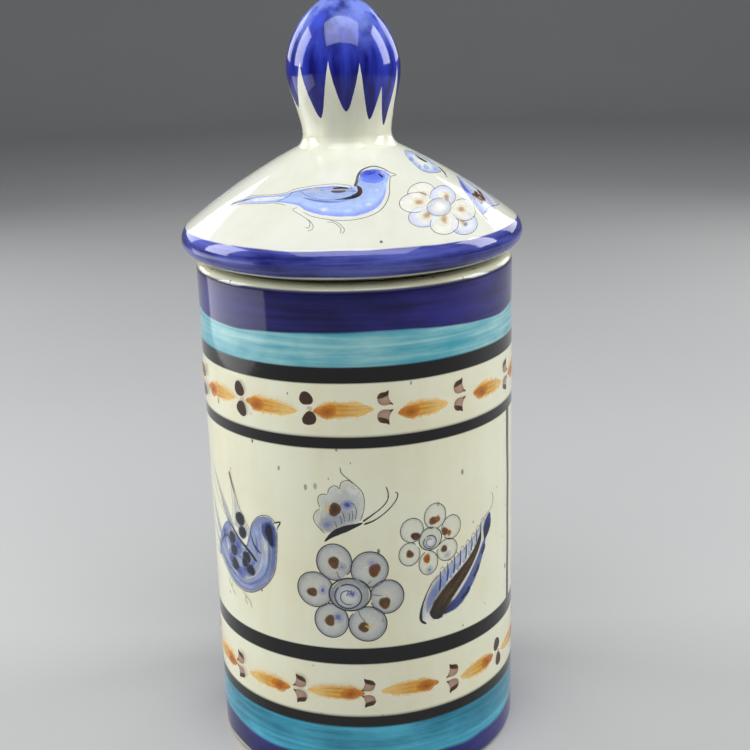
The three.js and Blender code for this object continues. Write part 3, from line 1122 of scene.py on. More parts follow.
def large_flower():
    """Six round grey petals with brown dabs, round a ringed blue heart."""
    petals = [
        ((-11.7, 98.7), (6.9, 7.6)),
        ((1.9, 95.5), (7.2, 7.5)),
        ((8.4, 83.6), (6.6, 7.1)),
        ((0.6, 72.4), (7.4, 7.4)),
        ((-13.6, 73.8), (6.7, 7.3)),
        ((-19.7, 86.6), (7.3, 7.4)),
    ]
    smudges = [
        ((-8.7, 96.9), (1.7, 1.6), MID_BLUE),
        ((-16.6, 86.5), (1.7, 2.4), STRONG_BLUE),
        ((-11.0, 75.4), (2.3, 2.9), MID_BLUE * 0.8),
        ((3.0, 97.8), (2.2, 2.0), LAVENDER),
    ]
    dots = [
        ((-11.8, 98.6), (2.6, 2.7), OLIVE),
        ((3.8, 95.2), (2.6, 3.1), BROWN * 0.9),
        ((7.4, 81.0), (2.3, 3.1), OLIVE * 0.9),
        ((-1.1, 71.1), (2.5, 2.4), OLIVE),
        ((-14.2, 73.8), (2.4, 2.6), OLIVE * 1.1),
        ((-21.0, 85.4), (2.3, 2.3), OLIVE * 0.9),
    ]
    ring, heart = ((-6.0, 85.2), (8.1, 6.9)), ((-6.7, 84.4), (5.2, 5.1))
    marks = petal_flower(petals, dots, smudges, ring, heart, 0.62, GREY_WASH, 0.7)
    marks.blot((-5.2, 85.4), (2.7, 2.2), STRONG_BLUE, LAVENDER, soft=1.5, amount=0.8, rim_amount=0.4)
    for x, y, lean in ((-6.5, 86.0, -1.0), (-5.2, 86.4, -1.4), (-4.4, 85.6, -0.8)):
        marks.stroke([(x, y + 1), (x + lean * 0.3, y - 0.4), (x + lean, y - 1.4)], 0.5, MID_BLUE * 0.8)
    for points in (
        [(-10.8, 95.4), (-10.4, 93.6), (-9.6, 91.8)],
        [(2.6, 91.0), (0.9, 89.4), (-0.6, 88.0)],
        [(2.4, 84.9), (4.8, 84.5), (6.6, 84.4)],
        [(-3.0, 78.6), (-2.4, 76.4), (-0.9, 74.2), (-0.4, 72.6)],
    ):
        marks.stroke(points, 0.4, SLATE, amount=0.8)
    marks.stroke([(-0.6, 72), (1.4, 70.8), (2.6, 72.4)], 1.3, AMBER_PALE, soft=1, amount=0.7)
    return marks


def small_flower():
    """The same kind of flower, smaller and paler, with rust on its dabs."""
    petals = [
        ((28.8, 114.1), (4.8, 5.3)),
        ((36.2, 107.8), (4.6, 5.0)),
        ((34.1, 98.8), (4.8, 4.6)),
        ((25.5, 95.2), (4.1, 5.0)),
        ((17.7, 100.2), (4.3, 4.8)),
        ((18.9, 110.0), (4.7, 5.0)),
    ]
    smudges = [((25.9, 92.2), (1.4, 1.8), STRONG_BLUE), ((34.0, 96.6), (1.5, 1.3), LAVENDER)]
    dots = [
        ((28.1, 112.4), (2.3, 2.0), BROWN),
        ((29.9, 112.8), (1.2, 1.7), RUST),
        ((33.0, 106.8), (1.8, 2.0), BROWN),
        ((34.9, 105.8), (1.2, 1.7), RUST * 0.9),
        ((32.5, 99.6), (1.6, 1.9), OLIVE),
        ((24.8, 97.1), (1.5, 2.5), RUST),
        ((17.8, 100.3), (1.8, 2.0), BROWN),
        ((20.2, 107.4), (2.1, 2.0), BROWN_DARK),
    ]
    ring, heart = ((26.5, 105.2), (4.9, 4.7)), ((26.2, 103.9), (2.8, 2.7))
    return petal_flower(petals, dots, smudges, ring, heart, 0.42, GREY_WASH * 1.2, 0.26)


def butterfly():
    """One scalloped pale wing with a brown eye, a dark body under it, and two long feelers."""
    wing = [(-14.6, 110.2), (-17.9, 113.8), (-19.1, 116.7), (-18.1, 119.3), (-16.2, 120.7), (-17, 123.3)]
    wing += [(-16.7, 125.7), (-15, 126.7), (-13.1, 126.4), (-12.7, 128.6), (-11.2, 130.1), (-9.6, 130.1)]
    wing += [
        (-8.4, 128.8), (-8.1, 131), (-7, 132.1), (-5, 132.4), (-3.4, 131.2), (-1.2, 129.3), (0.2, 127.1),
    ]
    wing += [(0.7, 123.8), (0.2, 119.5), (-1.2, 115.7)]
    marks = Painting()
    marks.wash(
        wing, GREY_WASH * 1.1, GREY_WASH * 1.35, centre=(-7.5, 119.5), soft=0.8, amounts=(0.65, 0.35),
    )
    marks.wash(
        [(-14.6, 110.4), (-17.5, 113.8), (-16, 118), (-9, 121), (-3, 121), (-1.6, 116), (-6, 112.6)],
        GREY_WASH, GREY_WASH * 1.1, soft=2.6, amounts=(0.6, 0.3),
    )
    marks.blot(
        (-14.0, 114.2), (4.2, 3.6), SLATE_BLUE * 1.1, GREY_WASH, turn=-30, soft=2.2, amount=0.85,
        rim_amount=0.5,
    )
    marks.blot((-3.5, 128.2), (3.2, 2.0), WHITE_WASH * 1.08, WHITE_WASH, turn=-30, soft=1.5, amount=0.7)
    marks.blot((-12.6, 120.6), (2.6, 2.2), MAUVE, AMBER_PALE, soft=1.8, amount=0.75)
    marks.blot((-10.6, 120.6), (2.9, 3.3), BROWN_DARK * 1.2, BROWN, soft=1.3, wander=0.1)
    marks.blot((-5.8, 122.5), (3.1, 2.9), MID_BLUE, LAVENDER, soft=2.0)
    marks.blot((-5.8, 122.6), (1.7, 1.5), STRONG_BLUE * 0.7, MID_BLUE, soft=1.2, amount=0.9)
    lobes = [wing[0:5], wing[4:9], wing[8:13], wing[12:17]]
    for points in lobes:
        marks.stroke(points, 0.4, INK, ends=(0.05, 0.05), amount=0.85)
    curl = [(-8, 137.9), (-7.7, 135.7), (-6, 133.8), (-4.1, 132.1)]
    marks.stroke(curl + wing[17:], (0.5, 0.4, 0.35), INK, ends=(0.03, 0.05), amount=0.85)
    veins = [
        [(-3.1, 115.7), (-2.4, 120), (-3.2, 122.6), (-4.6, 123.4)],
        [(-5.5, 115.5), (-5.0, 117.4), (-5.4, 119.5)],
        [(-7.0, 115.4), (-7.2, 117.6), (-7.8, 120)],
        [(-8.4, 114.6), (-8.2, 116.2), (-8.8, 118)],
        [(-4.3, 115.6), (-3.8, 118.6), (-4.2, 120.6)],
        [(-10.2, 113.2), (-10.4, 114.6), (-11.2, 116)],
    ]
    for points in veins:
        marks.stroke(points, 0.34, INK, amount=0.8)
    body = [(-15.3, 106.9), (-12.7, 109.5), (-9.8, 111.4), (-6.5, 112.8), (-3, 114), (-0.1, 115.1)]
    marks.stroke(body, (0.5, 2.0, 3.4, 3.2, 2.0, 0.9), INK * 0.6, ends=(0.06, 0.06), soft=0.35)
    feelers = [
        [(-0.3, 115.5), (3.5, 118.1), (7.3, 121), (9.5, 123.8), (9.8, 126.7), (9, 129.5)],
        [(0, 114.3), (4.5, 116), (9.2, 119.3), (12.1, 122.4), (13.4, 124.8), (13.3, 126.2), (12.3, 126.8)],
    ]
    for points in feelers:
        marks.stroke(points, (1.0, 0.55, 0.5, 0.55), INK * 0.8, ends=(0.02, 0.06))
    return marks


def leaf():
    """A feathery leaf: a comb of pale lobes on its left, a broad dark rib, and a strong blue right edge."""
    left = [
        (21.9, 71.4), (22.1, 75.8), (23.9, 81), (26.7, 86.1), (30.6, 90.4), (38, 95), (46, 99.4),
        (53, 104.4),
    ]
    right = [(27, 69.6), (34, 70.6), (42, 74), (48, 80), (52.4, 86.4), (55.8, 93), (57.4, 99), (57.6, 106)]
    marks = Painting()
    marks.blade(left, right, [LAVENDER, WHITE_WASH, WHITE_WASH, WHITE_WASH], amount=0.7, fade=(0.03, 0.06))
    inner = [(24.4, 74), (26.6, 79.5), (30.4, 84.6), (35, 88.6), (41, 92)]
    marks.stroke(
        inner, (3.0, 6.0, 6.4, 4.6, 2.4), [LAVENDER, SLATE_BLUE * 1.1, SKY, LAVENDER], soft=0.9, amount=0.85
    )
    feet = [
        (30.4, 82.4), (33.9, 85.4), (37.2, 88.0), (40.3, 90.2), (43.4, 92.4), (46.6, 95.0), (49.6, 97.8),
        (52.2, 100.6),
    ]
    for k, (x, y) in enumerate(feet):
        tall = 8.6 - 0.55 * k
        lobe = [(x + 1.7, y + 0.4), (x + 2.2, y + tall * 0.5), (x + 1.9, y + tall * 0.95)]
        marks.stroke(
            lobe, (2.6, 3.4, 2.6), [SLATE_BLUE * 1.2, SKY * 1.2, LAVENDER * 1.3], soft=0.9, amount=0.6,
        )
        quill = [(x - 0.2, y - 0.6), (x + 0.3, y + tall * 0.45), (x + 0.2, y + tall)]
        marks.stroke(quill, (1.2, 1.2, 0.6), NAVY * 1.3, soft=0.7, amount=0.85)
        cap = [(x + 0.2, y + tall), (x + 1.5, y + tall + 0.9), (x + 2.9, y + tall * 0.62 + 1.4)]
        marks.stroke(cap, 0.4, SLATE * 1.1, amount=0.7)
    edge = [
        (31.8, 71.6), (38.4, 75.0), (42.2, 78.0), (45.6, 81.8), (49.2, 86.6), (52.8, 92.4), (55.8, 98.4),
    ]
    marks.stroke(
        edge, (4.4, 6.4, 6.8, 6.2, 5.2, 3.8, 2.2),
        [NAVY * 2.2, MID_BLUE * 0.72, SLATE_BLUE * 0.85, MID_BLUE * 0.8], soft=0.6, streaks=1.2,
    )
    for points in ([(40.6, 75.4), (45.4, 79.8)], [(47.4, 82.6), (51, 87.6)], [(52.4, 91), (54.6, 95)]):
        middle = (np.add(*points) / 2 + (0.5, -0.3)).tolist()
        marks.stroke([points[0], middle, points[1]], 2.6, NAVY * 1.4, soft=0.9, amount=0.9)
    gap = [(36, 77.6), (42, 83.2), (47.6, 89), (52, 95)]
    marks.stroke(gap, (0.8, 1.2, 1.2, 0.6), WHITE_WASH, soft=0.7, amount=0.7)
    rib = [(27.2, 70.6), (31.2, 76.6), (35.8, 81.6), (41.6, 86.6), (47, 91.6), (50.6, 96.2), (52.6, 101)]
    shades = [INK * 0.7, OLIVE * 0.8, BROWN_DARK, OLIVE * 0.75, INK * 0.6]
    marks.stroke(
        rib, (8.0, 9.6, 8.4, 7.2, 5.4, 3.6, 2.2), shades, ends=(0.05, 0.08), soft=0.45, streaks=2.0,
    )
    spread = [(30.6, 75), (36.6, 81.6), (43.6, 88), (49, 94)]
    marks.stroke(spread, (1.2, 2.4, 2.0, 1.0), OLIVE * 1.7, soft=0.9, amount=0.6, streaks=1.2)
    tip = [(54.6, 96.6), (56.4, 101), (58.6, 107.4)]
    marks.stroke(tip, (3.6, 6.6, 4.4), [NAVY, NAVY, STRONG_BLUE * 0.8], ends=(0.3, 0.3), soft=0.5)
    outline = [(24.2, 69.2), (21.9, 71.4), (22.1, 75.8), (23.9, 81), (26.7, 86.1), (29.9, 89.3)]
    marks.stroke(outline, (1.2, 1.6, 0.9, 0.6, 0.5, 0.45), INK, ends=(0.05, 0.05))
    marks.stroke([(52.6, 104.2), (54.8, 106.2), (58.8, 108.4)], 0.4, SLATE, amount=0.8)
    marks.stroke([(58.7, 107.3), (60.8, 110.1), (61.2, 113), (60.2, 115.4)], 0.45, SLATE, amount=0.85)
    return marks


def perched_bird():
    """A plump bird with its wing raised: washes for its tail, wing and body, dark dabs, and an outline."""
    belly = [
        (-35, 109), (-35.3, 103), (-35.9, 97), (-37.1, 91.3), (-39.2, 87.4), (-42, 84.1), (-45.4, 81.3),
    ]
    belly += [
        (-49.6, 78.9), (-53.9, 77.8), (-58.3, 77.8), (-62.8, 78.8), (-66.7, 80.8), (-70.6, 83.6),
        (-74.4, 86.1),
    ]
    head = [(-48.9, 103.6), (-48.6, 107.6), (-46.1, 111.3), (-43, 113.6), (-39.7, 114.4), (-36.8, 113.2)]
    back = [
        (-78.1, 87.2), (-76, 94), (-71, 101), (-65.6, 105.2), (-60.4, 102.4), (-55.4, 99), (-51.4, 99.2),
    ]
    marks = Painting()
    swathes = [
        [(-60, 99), (-64, 106), (-70, 114), (-80, 126)],
        [(-70, 93), (-76, 99), (-81, 106), (-87, 116)],
        [(-74, 89), (-80, 94), (-86, 100)],
    ]
    for points, wide in zip(swathes, (7.5, 6.5, 5.0)):
        marks.stroke(
            points, (wide, wide, wide * 0.6, 1.0), [SLATE_BLUE, GREY_WASH, GREY_WASH * 1.2], soft=0.9,
            amount=0.6,
        )
    wing = [(-61, 104.7), (-60, 111), (-59.7, 120), (-60.8, 126.6)]
    other = [(-46.1, 101), (-50.4, 106.9), (-55.2, 113.6), (-60.2, 126.8)]
    marks.blade(
        wing, other, [GREY_WASH, GREY_WASH * 1.3, GREY_WASH], amount=0.55, fade=(0.05, 0.2), soft=0.15,
    )
    body = belly + back + head
    marks.wash(
        body, SLATE_BLUE * 1.45, SLATE_BLUE * 1.1, centre=(-55, 91.5), soft=0.9, amounts=(0.65, 0.85),
        count=110,
    )
    sweeps = [
        (
            [(-74, 89.6), (-66, 84), (-56, 80.6), (-48, 83.4), (-42.4, 89), (-39.6, 97), (-39.8, 106)], 2.4,
            SLATE_BLUE * 0.85,
        ),
        (
            [(-74, 92.6), (-66.6, 87), (-57, 83.6), (-49.8, 85.6), (-45, 91), (-42.6, 98), (-43, 107)], 2.2,
            WHITE_WASH * 0.8,
        ),
        (
            [(-71, 97), (-66, 91), (-58, 87), (-52, 88), (-48, 93), (-46, 99), (-46.4, 105)], 2.6,
            STRONG_BLUE * 1.2,
        ),
        ([(-68, 102), (-64, 96), (-58.6, 92), (-54, 92.6), (-50, 97)], 2.6, SLATE_BLUE * 0.8),
        ([(-63, 104), (-60, 100), (-56, 97), (-52.4, 97.4)], 2.2, WHITE_WASH * 0.75),
    ]
    for points, wide, colour in sweeps:
        marks.stroke(
            points, (wide * 0.7, wide * 1.3, wide, wide * 1.2, wide * 0.6), colour, ends=(0.1, 0.1),
            soft=0.9, amount=0.55, streaks=1.6,
        )
    for centre, radii, turn, colour in (
        ((-66, 92), (3.0, 8.0), 25, WHITE_WASH * 0.9),
        ((-57, 101), (4.0, 2.6), -35, WHITE_WASH * 0.85),
        ((-47, 95.5), (2.2, 6.0), 5, GREY_WASH * 1.15),
        ((-45.6, 105.6), (2.6, 5.0), 12, SKY * 1.2),
        ((-60, 81), (5.0, 1.8), -6, WHITE_WASH * 0.8),
        ((-70, 87.6), (3.0, 3.0), 20, GREY_WASH),
    ):
        marks.blot(centre, radii, colour, SKY, turn=turn, soft=2.2, amount=0.85, rim_amount=0.3)
    marks.stroke(
        [(-49, 84.4), (-44.6, 88), (-41.9, 93), (-41.0, 99), (-41.8, 105), (-43.6, 110)],
        (2.2, 3.2, 3.4, 3.4, 3.8, 2.4), [LAVENDER, SKY * 1.15, WHITE_WASH * 0.85, SKY], soft=0.95,
        amount=0.8,
    )
    marks.stroke(
        [(-66, 83.6), (-58, 80.4), (-51, 80.9), (-45, 84.2)], (1.6, 2.6, 2.4, 1.6),
        [SKY, LAVENDER * 1.2, SKY], soft=0.9, amount=0.7,
    )
    marks.stroke(
        [(-37, 110.6), (-37.0, 103), (-37.7, 96), (-39.6, 89.4), (-44, 84.6), (-50, 81)],
        (3.4, 3.0, 2.6, 2.4, 2.0, 1.2), [NAVY, SLATE_BLUE * 0.8, SLATE_BLUE, LAVENDER, SLATE_BLUE],
        soft=0.9, amount=0.75,
    )
    for centre, radii, turn in (
        ((-58.3, 96.6), (3.6, 5.0), 20),
        ((-57.6, 85), (4.8, 2.8), -20),
        ((-53.4, 89), (3.4, 4.6), 10),
        ((-64, 89), (3.0, 5.4), 20),
    ):
        marks.blot(
            centre, radii, STRONG_BLUE * 0.95, MID_BLUE, turn=turn, soft=2.0, amount=0.85, rim_amount=0.6,
        )
    marks.blot((-69.4, 98.4), (2.2, 3.2), NAVY, MID_BLUE, soft=1.4, amount=0.9)
    marks.stroke(
        [(-76, 88.6), (-72.6, 94), (-66.4, 98), (-60, 91.6)], (0.8, 1.4, 1.6, 1.0), NAVY * 1.3, soft=0.8,
        amount=0.7,
    )
    marks.blot((-39.0, 107.0), (3.9, 6.8), NAVY, MID_BLUE * 0.7, turn=6, soft=2.4, wander=0.14, amount=0.95)
    marks.blot((-38.8, 106.6), (2.5, 5.0), INK * 0.4, NAVY * 0.7, turn=9, soft=1.7, wander=0.16)
    marks.stroke(
        [(-66.1, 106.6), (-61.1, 103.3), (-56.1, 99.7), (-50.6, 96.3), (-46.2, 92.9)],
        (0.5, 0.8, 1.2, 1.7, 2.0), INK * 0.8, ends=(0.05, 0.08),
    )
    marks.stroke(
        [(-48.9, 104), (-47.6, 100.4), (-45.2, 98), (-43.6, 97.4)], (0.5, 1.1, 1.5, 0.8), NAVY, soft=0.7,
        amount=0.9,
    )
    for x, y, wide, tall in (
        (-55.4, 109.0, 5.2, 5.4),
        (-54.2, 103.6, 3.8, 5.4),
        (-62.2, 98.8, 4.0, 5.2),
        (-61.4, 93.6, 4.0, 5.0),
        (-61.0, 87.6, 4.6, 5.0),
        (-52.4, 93.3, 4.6, 4.2),
        (-50.3, 88.4, 4.4, 4.2),
        (-53.6, 90.6, 3.2, 3.4),
    ):
        marks.blot(
            (x, y), (wide / 2 + 1.1, tall / 2 + 0.9), SLATE * 0.6, SLATE_BLUE * 0.7, turn=-25, soft=1.0,
            amount=0.7,
        )
        marks.blot((x, y), (wide / 2 + 0.6, tall / 2 + 0.4), INK * 0.45, INK * 0.7, turn=-25, soft=0.8)
    marks.stroke(
        belly + [(-78.1, 87.2), (-79.4, 89.6)], (0.5, 0.5, 0.5, 0.6, 0.5, 0.5, 1.0), SLATE * 0.75,
        ends=(0.01, 0.02), amount=0.9,
    )
    marks.stroke(
        head[:5] + [(-36.9, 113.4), (-35.6, 111.9)], 0.45, SLATE * 0.9, ends=(0.03, 0.03), amount=0.85,
    )
    marks.stroke([(-36.6, 111.9), (-33.4, 112.9), (-34.7, 110.4), (-35.0, 109)], (0.8, 0.8, 0.5), INK)
    marks.stroke([(-61.4, 127.8), (-60.2, 124), (-58.3, 119)], (1.6, 1.3, 0.5), INK, amount=0.9)
    marks.stroke([(-60.6, 125), (-55, 113.6), (-50, 106.9), (-48.4, 103.6)], 0.45, SLATE, amount=0.75)
    marks.stroke([(-60.8, 124), (-59.9, 114), (-60.6, 107)], 0.4, SLATE, amount=0.6)
    marks.stroke([(-88, 131), (-80, 119.6), (-71.6, 110.4), (-65.8, 106.4)], 0.45, SLATE, amount=0.7)
    claws = [
        [(-56.4, 77.4), (-54.2, 75.6), (-51.8, 74), (-50.8, 71.2)], [(-54.2, 76), (-54.6, 74), (-53.6, 72)],
    ]
    claws += [[(-64.4, 78), (-64.8, 75.6), (-62, 72.8)], [(-67, 79.4), (-66.4, 77), (-64.4, 75.8)]]
    for points in claws:
        marks.stroke(points, 0.45, SLATE, amount=0.8)
    return marks


# ---- The lid's motifs, from degrees round it and distances from its lip ----


def long_tailed_bird():
    """A resting bird: a long pale tail, a blue body and head, a dark collar, and a thin outline."""
    over = on_lid(
        (-62, 39), (-59, 41.2), (-53, 44.8), (-39.8, 46.9), (-34, 48.4), (-30, 50.4), (-23, 52.4),
        (-14.4, 53.6), (-6.4, 53.8), (1.2, 52.6), (3.2, 55.4), (4.8, 59.2), (7.2, 61.6), (12.4, 63.2),
        (17.8, 63.2), (22, 61.2), (24, 59), (25, 58.2),
    )
    under = on_lid(
        (-62, 38.6), (-58.6, 39.6), (-52.4, 41.2), (-43.8, 42.4), (-36.2, 43.4), (-29.6, 43.2), (-24, 42.2),
        (-20.4, 40), (-16.2, 38.3), (-10.2, 37), (-4.8, 36.3), (1, 36.4), (6.2, 38), (10.4, 40.6),
        (13.6, 44), (16.4, 48.4), (18.8, 52.8), (22, 57.2),
    )
    across = [CLEAR_BLUE, SKY * 1.1, SKY * 1.05, SKY * 1.2, SKY * 1.3, CLEAR_BLUE * 1.25]
    marks = Painting()
    marks.blade(over, under, across, soft=0.07, fade=(0.03, 0.04), amount=0.9, streaks=0.3)
    tail = on_lid((-60, 40), (-50, 43.2), (-40, 45.2), (-33, 46.4))
    marks.stroke(
        tail, (1.6, 2.6, 3.2, 3.0), [LAVENDER, WHITE_WASH * 1.02, WHITE_WASH], soft=0.9, amount=0.8,
    )
    marks.stroke(
        on_lid((-62.4, 38.6), (-58, 41.4), (-51, 44)), (1.4, 1.8, 0.8), [NAVY, SLATE, LAVENDER], soft=0.8,
        amount=0.9,
    )
    wing = on_lid((-26.8, 49.6), (-20, 50.8), (-11, 51), (-3, 51.2), (2, 50))
    marks.stroke(
        wing, (1.2, 3.8, 4.6, 4.0, 2.2),
        [LAVENDER * 1.3, GREY_WASH * 1.25, LAVENDER * 1.2, GREY_WASH * 1.2, SLATE_BLUE], soft=0.7,
        amount=0.9,
    )
    marks.stroke(
        on_lid((-24, 46.8), (-16, 45.2), (-8, 44.6), (0, 46)), (1.0, 2.0, 1.8, 0.8),
        [MID_BLUE, MID_BLUE * 1.3, SKY], soft=0.9, amount=0.8,
    )
    for deg, slant, size, colour in (
        (-15.4, 51.2, 1.5, STRONG_BLUE * 1.6), (-0.6, 51.9, 1.7, STRONG_BLUE * 1.3), (-20, 48.8, 1.6, SKY),
    ):
        marks.blot(on_lid((deg, slant))[0], (size, size * 0.8), colour, SKY, soft=1.1, amount=0.9)
    marks.stroke(on_lid((-10.4, 52), (-5.8, 52.3), (-1.8, 51.9)), (1.2, 1.7, 1.0), INK * 0.8, soft=0.7)
    marks.stroke(
        on_lid((-11, 50.4), (-6.8, 50.2), (-3, 50.6)), (1.6, 2.6, 1.4), OLIVE * 1.3, soft=0.8, amount=0.9,
    )
    for deg, slant, size, colour in (
        (-12, 40.6, 4.0, WHITE_WASH * 0.95), (-2, 39.6, 4.2, SKY * 1.5), (7, 42.6, 3.8, WHITE_WASH * 0.85),
        (12.4, 50, 3.0, WHITE_WASH * 0.9), (16, 53, 2.6, LAVENDER * 1.3),
        (7.4, 49.6, 2.4, SLATE_BLUE * 1.3),
    ):
        marks.blot(
            on_lid((deg, slant))[0], (size, size * 0.75), colour, SKY * 1.2, soft=1.8, amount=0.9,
            rim_amount=0.35,
        )
    head = on_lid(
        (4.4, 55.4), (5.8, 59.4), (10, 62.2), (16.6, 62.2), (21.6, 60.2), (21, 57), (17, 54.4), (11, 53.6),
    )
    marks.wash(head, CLEAR_BLUE, CLEAR_BLUE * 1.25, soft=1.6, amounts=(0.95, 0.85))
    marks.blot(on_lid((11.4, 60.2))[0], (4.8, 2.8), STRONG_BLUE * 1.4, CLEAR_BLUE, turn=10, soft=1.6)
    for deg, slant, lean in ((9, 60.6, 0.8), (12, 60.2, -0.6), (14.6, 60.4, 0.5)):
        flat = on_lid((deg, slant))[0]
        marks.stroke(
            [flat + (-1, -1), flat + (0, 0.2), flat + (lean, 1.2)], 0.8, STRONG_BLUE, soft=0.8, amount=0.8,
        )
    marks.blot(on_lid((21, 60.2))[0], (1.8, 1.5), LAVENDER * 1.15, LAVENDER * 1.3, soft=0.9, amount=0.9)
    marks.stroke(on_lid((16.9, 59.4), (17.9, 58.4), (18.6, 57)), (1.0, 1.3, 0.6), INK * 0.8, soft=0.6)
    collar = on_lid((2.4, 53.6), (3.8, 51.3), (3.4, 49), (0.8, 47.2), (-3.4, 46.2), (-8, 45.8))
    tones = [INK, OLIVE * 0.9, INK * 0.9, INK, SLATE]
    marks.stroke(collar, (1.2, 2.2, 2.9, 2.2, 1.0, 0.5), tones, soft=0.5)
    outline = on_lid(
        (1.2, 52.7), (2.4, 55.1), (3.8, 59.3), (6.6, 62.2), (12.2, 64), (17.8, 64.1), (22.8, 62),
        (25, 59.9), (28, 57.9), (23.6, 57), (20.2, 52.3), (17.8, 47.5), (14.8, 43), (11.2, 39.2),
        (6.6, 36.6), (1, 35), (-4.8, 34.8), (-10.4, 35.5), (-16.4, 37), (-20.8, 39.2),
    )
    marks.stroke(
        outline, (1.5, 1.0, 0.5, 0.4, 0.45, 0.4, 0.35, 0.35), [INK, INK, SLATE, SLATE * 1.5, SLATE * 1.5],
        ends=(0.01, 0.03), amount=0.85,
    )
    folds = [
        [
            (-63.8, 37.2), (-60, 41.6), (-53.4, 45.2), (-39.8, 47.3), (-34, 48.9), (-30.4, 51.2), (-23, 53),
            (-14.4, 54.3), (-6.4, 54.4), (1.2, 52.9),
        ],
        [(-26.8, 50.1), (-22, 47.8), (-15.6, 45.9), (-8.8, 45.6), (-2.4, 46.4), (1, 49)],
        [(-36, 43.4), (-32, 46.4), (-30.4, 49.6)],
        [(-63.4, 37.2), (-52.4, 40.6), (-43.8, 41.8), (-36.2, 42.9), (-29.6, 42.1)],
    ]
    for points in folds:
        marks.stroke(on_lid(*points), 0.36, SLATE * 1.3, ends=(0.03, 0.03), amount=0.75)
    legs = [
        [(-23.8, 41.4), (-25.4, 39.9), (-21, 37.5), (-17.8, 35.4), (-16.2, 33.7), (-16, 31), (-17.8, 31.5)],
        [(-17.4, 35.6), (-14.8, 32.5), (-14.6, 30.4), (-16.2, 29.3)],
        [(-10.2, 34.1), (-7.4, 33.7), (-5.2, 31.8), (-4.4, 30.1), (-4.6, 28.1)],
        [(-9.2, 35.2), (-5.4, 33.3), (-3.2, 30.1), (-4, 27.9)],
    ]
    for points in legs:
        marks.stroke(on_lid(*points), 0.36, SLATE * 1.5, ends=(0.03, 0.05), amount=0.75)
    return marks


def lid_flower():
    """A pale flower of seven overlapping petals, hardly darker than the glaze, with tan dabs."""
    middle = on_lid((37.8, 37.5))[0]
    petals = on_lid(
        (35.4, 47.3), (46.2, 43.1), (49.6, 33.5), (43.2, 26.8), (34.2, 28.5), (27.4, 33.7), (27.2, 41.9),
    )
    petals = petals * 0.93 + middle * 0.07
    dots = on_lid(
        (34.8, 44.9), (46.2, 41.6), (47.6, 34.2), (43, 29.2), (35.4, 31.2), (29.6, 34.5), (29.8, 41.4),
    )
    tan, sand = srgb(176, 150, 118), srgb(206, 190, 162)
    marks = Painting()
    for k in (3, 5, 0, 4, 1, 6, 2):
        pale = LAVENDER * 1.7 if k % 2 else WHITE_WASH
        radii = (7.4, 5.3) if k in (1, 2, 3) else (6.7, 5.2)
        marks.blot(petals[k], radii, WHITE_WASH, pale * 0.96, soft=0.6, amount=0.75, wander=0.03)
        toward = math.degrees(math.atan2(*(middle - petals[k])[::-1]))
        marks.blot(
            petals[k] * 0.85 + middle * 0.15, (3.4, 2.4), WHITE_WASH * 1.2, WHITE_WASH, turn=toward,
            soft=1.4, amount=0.7,
        )
        marks.round_line(petals[k], radii, 0.42, SLATE * 1.3, toward + 50, toward + 310, amount=0.85)
        marks.blot(dots[k], (4.0, 3.0), tan * 0.8, sand, turn=toward, soft=1.3, amount=0.95, rim_amount=0.5)
    marks.blot(
        on_lid((42.6, 26.9))[0], (2.2, 1.5), STRONG_BLUE * 1.3, LAVENDER * 1.2, soft=1.1, amount=0.85,
    )
    marks.blot(middle, (6.0, 4.5), WHITE_WASH * 1.05, GREY_WASH * 1.5, soft=0.7, turn=20)
    marks.round_line(middle, (6.0, 4.5), 0.42, SLATE * 1.7, 60, 410, amount=0.85)
    marks.blot(
        middle + (0.4, 0.2), (3.6, 2.6), WHITE_WASH * 1.22, WHITE_WASH, turn=-30, soft=1.6, amount=0.8,
    )
    return marks


def lid_leaf():
    """A broad leaf low on the lid: blue at its near edge, mottled brown in the middle, lavender beyond."""
    near = on_lid((80, 49.4), (74.4, 47.6), (66.6, 44.6), (61.8, 39.6), (58.2, 33.8), (56.2, 29))
    far = on_lid((88, 49), (92, 45), (95, 40), (93, 35), (88, 31.4), (80.8, 29.3))
    across = [CLEAR_BLUE, SKY, WHITE_WASH, LAVENDER * 1.3, WHITE_WASH, LAVENDER * 1.3, WHITE_WASH]
    marks = Painting()
    marks.blade(near, far, across, soft=0.06, fade=(0.04, 0.03), amount=0.95)
    edge = on_lid((74, 46.6), (67, 42.8), (63.4, 38.6), (60, 33.6))
    marks.stroke(
        edge, (3.6, 5.2, 4.0, 1.6), [MID_BLUE * 1.4, STRONG_BLUE * 1.5, MID_BLUE * 1.6], soft=0.8,
        amount=0.9,
    )
    for deg, slant, size in (
        (66.6, 37.8, 2.9), (71, 38.4, 2.7), (66.4, 35.2, 2.6), (72, 36, 2.8), (77, 38.2, 2.4),
    ):
        marks.blot(on_lid((deg, slant))[0], (size, size * 0.8), OLIVE, BROWN, soft=0.9)
    for deg, slant in ((69, 36.6), (74, 37.2), (64.6, 36.4)):
        marks.blot(on_lid((deg, slant))[0], (1.0, 0.6), WHITE_WASH, MAUVE, soft=0.5, amount=0.8)
    rim = on_lid((56.2, 29), (63.4, 30.8), (70.2, 30.8), (80.8, 29.3), (88, 31.2), (93, 35))
    marks.stroke(rim, 0.4, SLATE * 1.3, ends=(0.02, 0.02), amount=0.85)
    spine = on_lid((80, 49.6), (74.4, 47.6), (66.6, 44.6), (61.8, 39.6), (58.2, 33.8), (56, 28), (56.4, 26))
    marks.stroke(spine, (0.5, 0.5, 0.6, 0.8, 0.4), SLATE, ends=(0.02, 0.03), amount=0.9)
    return marks


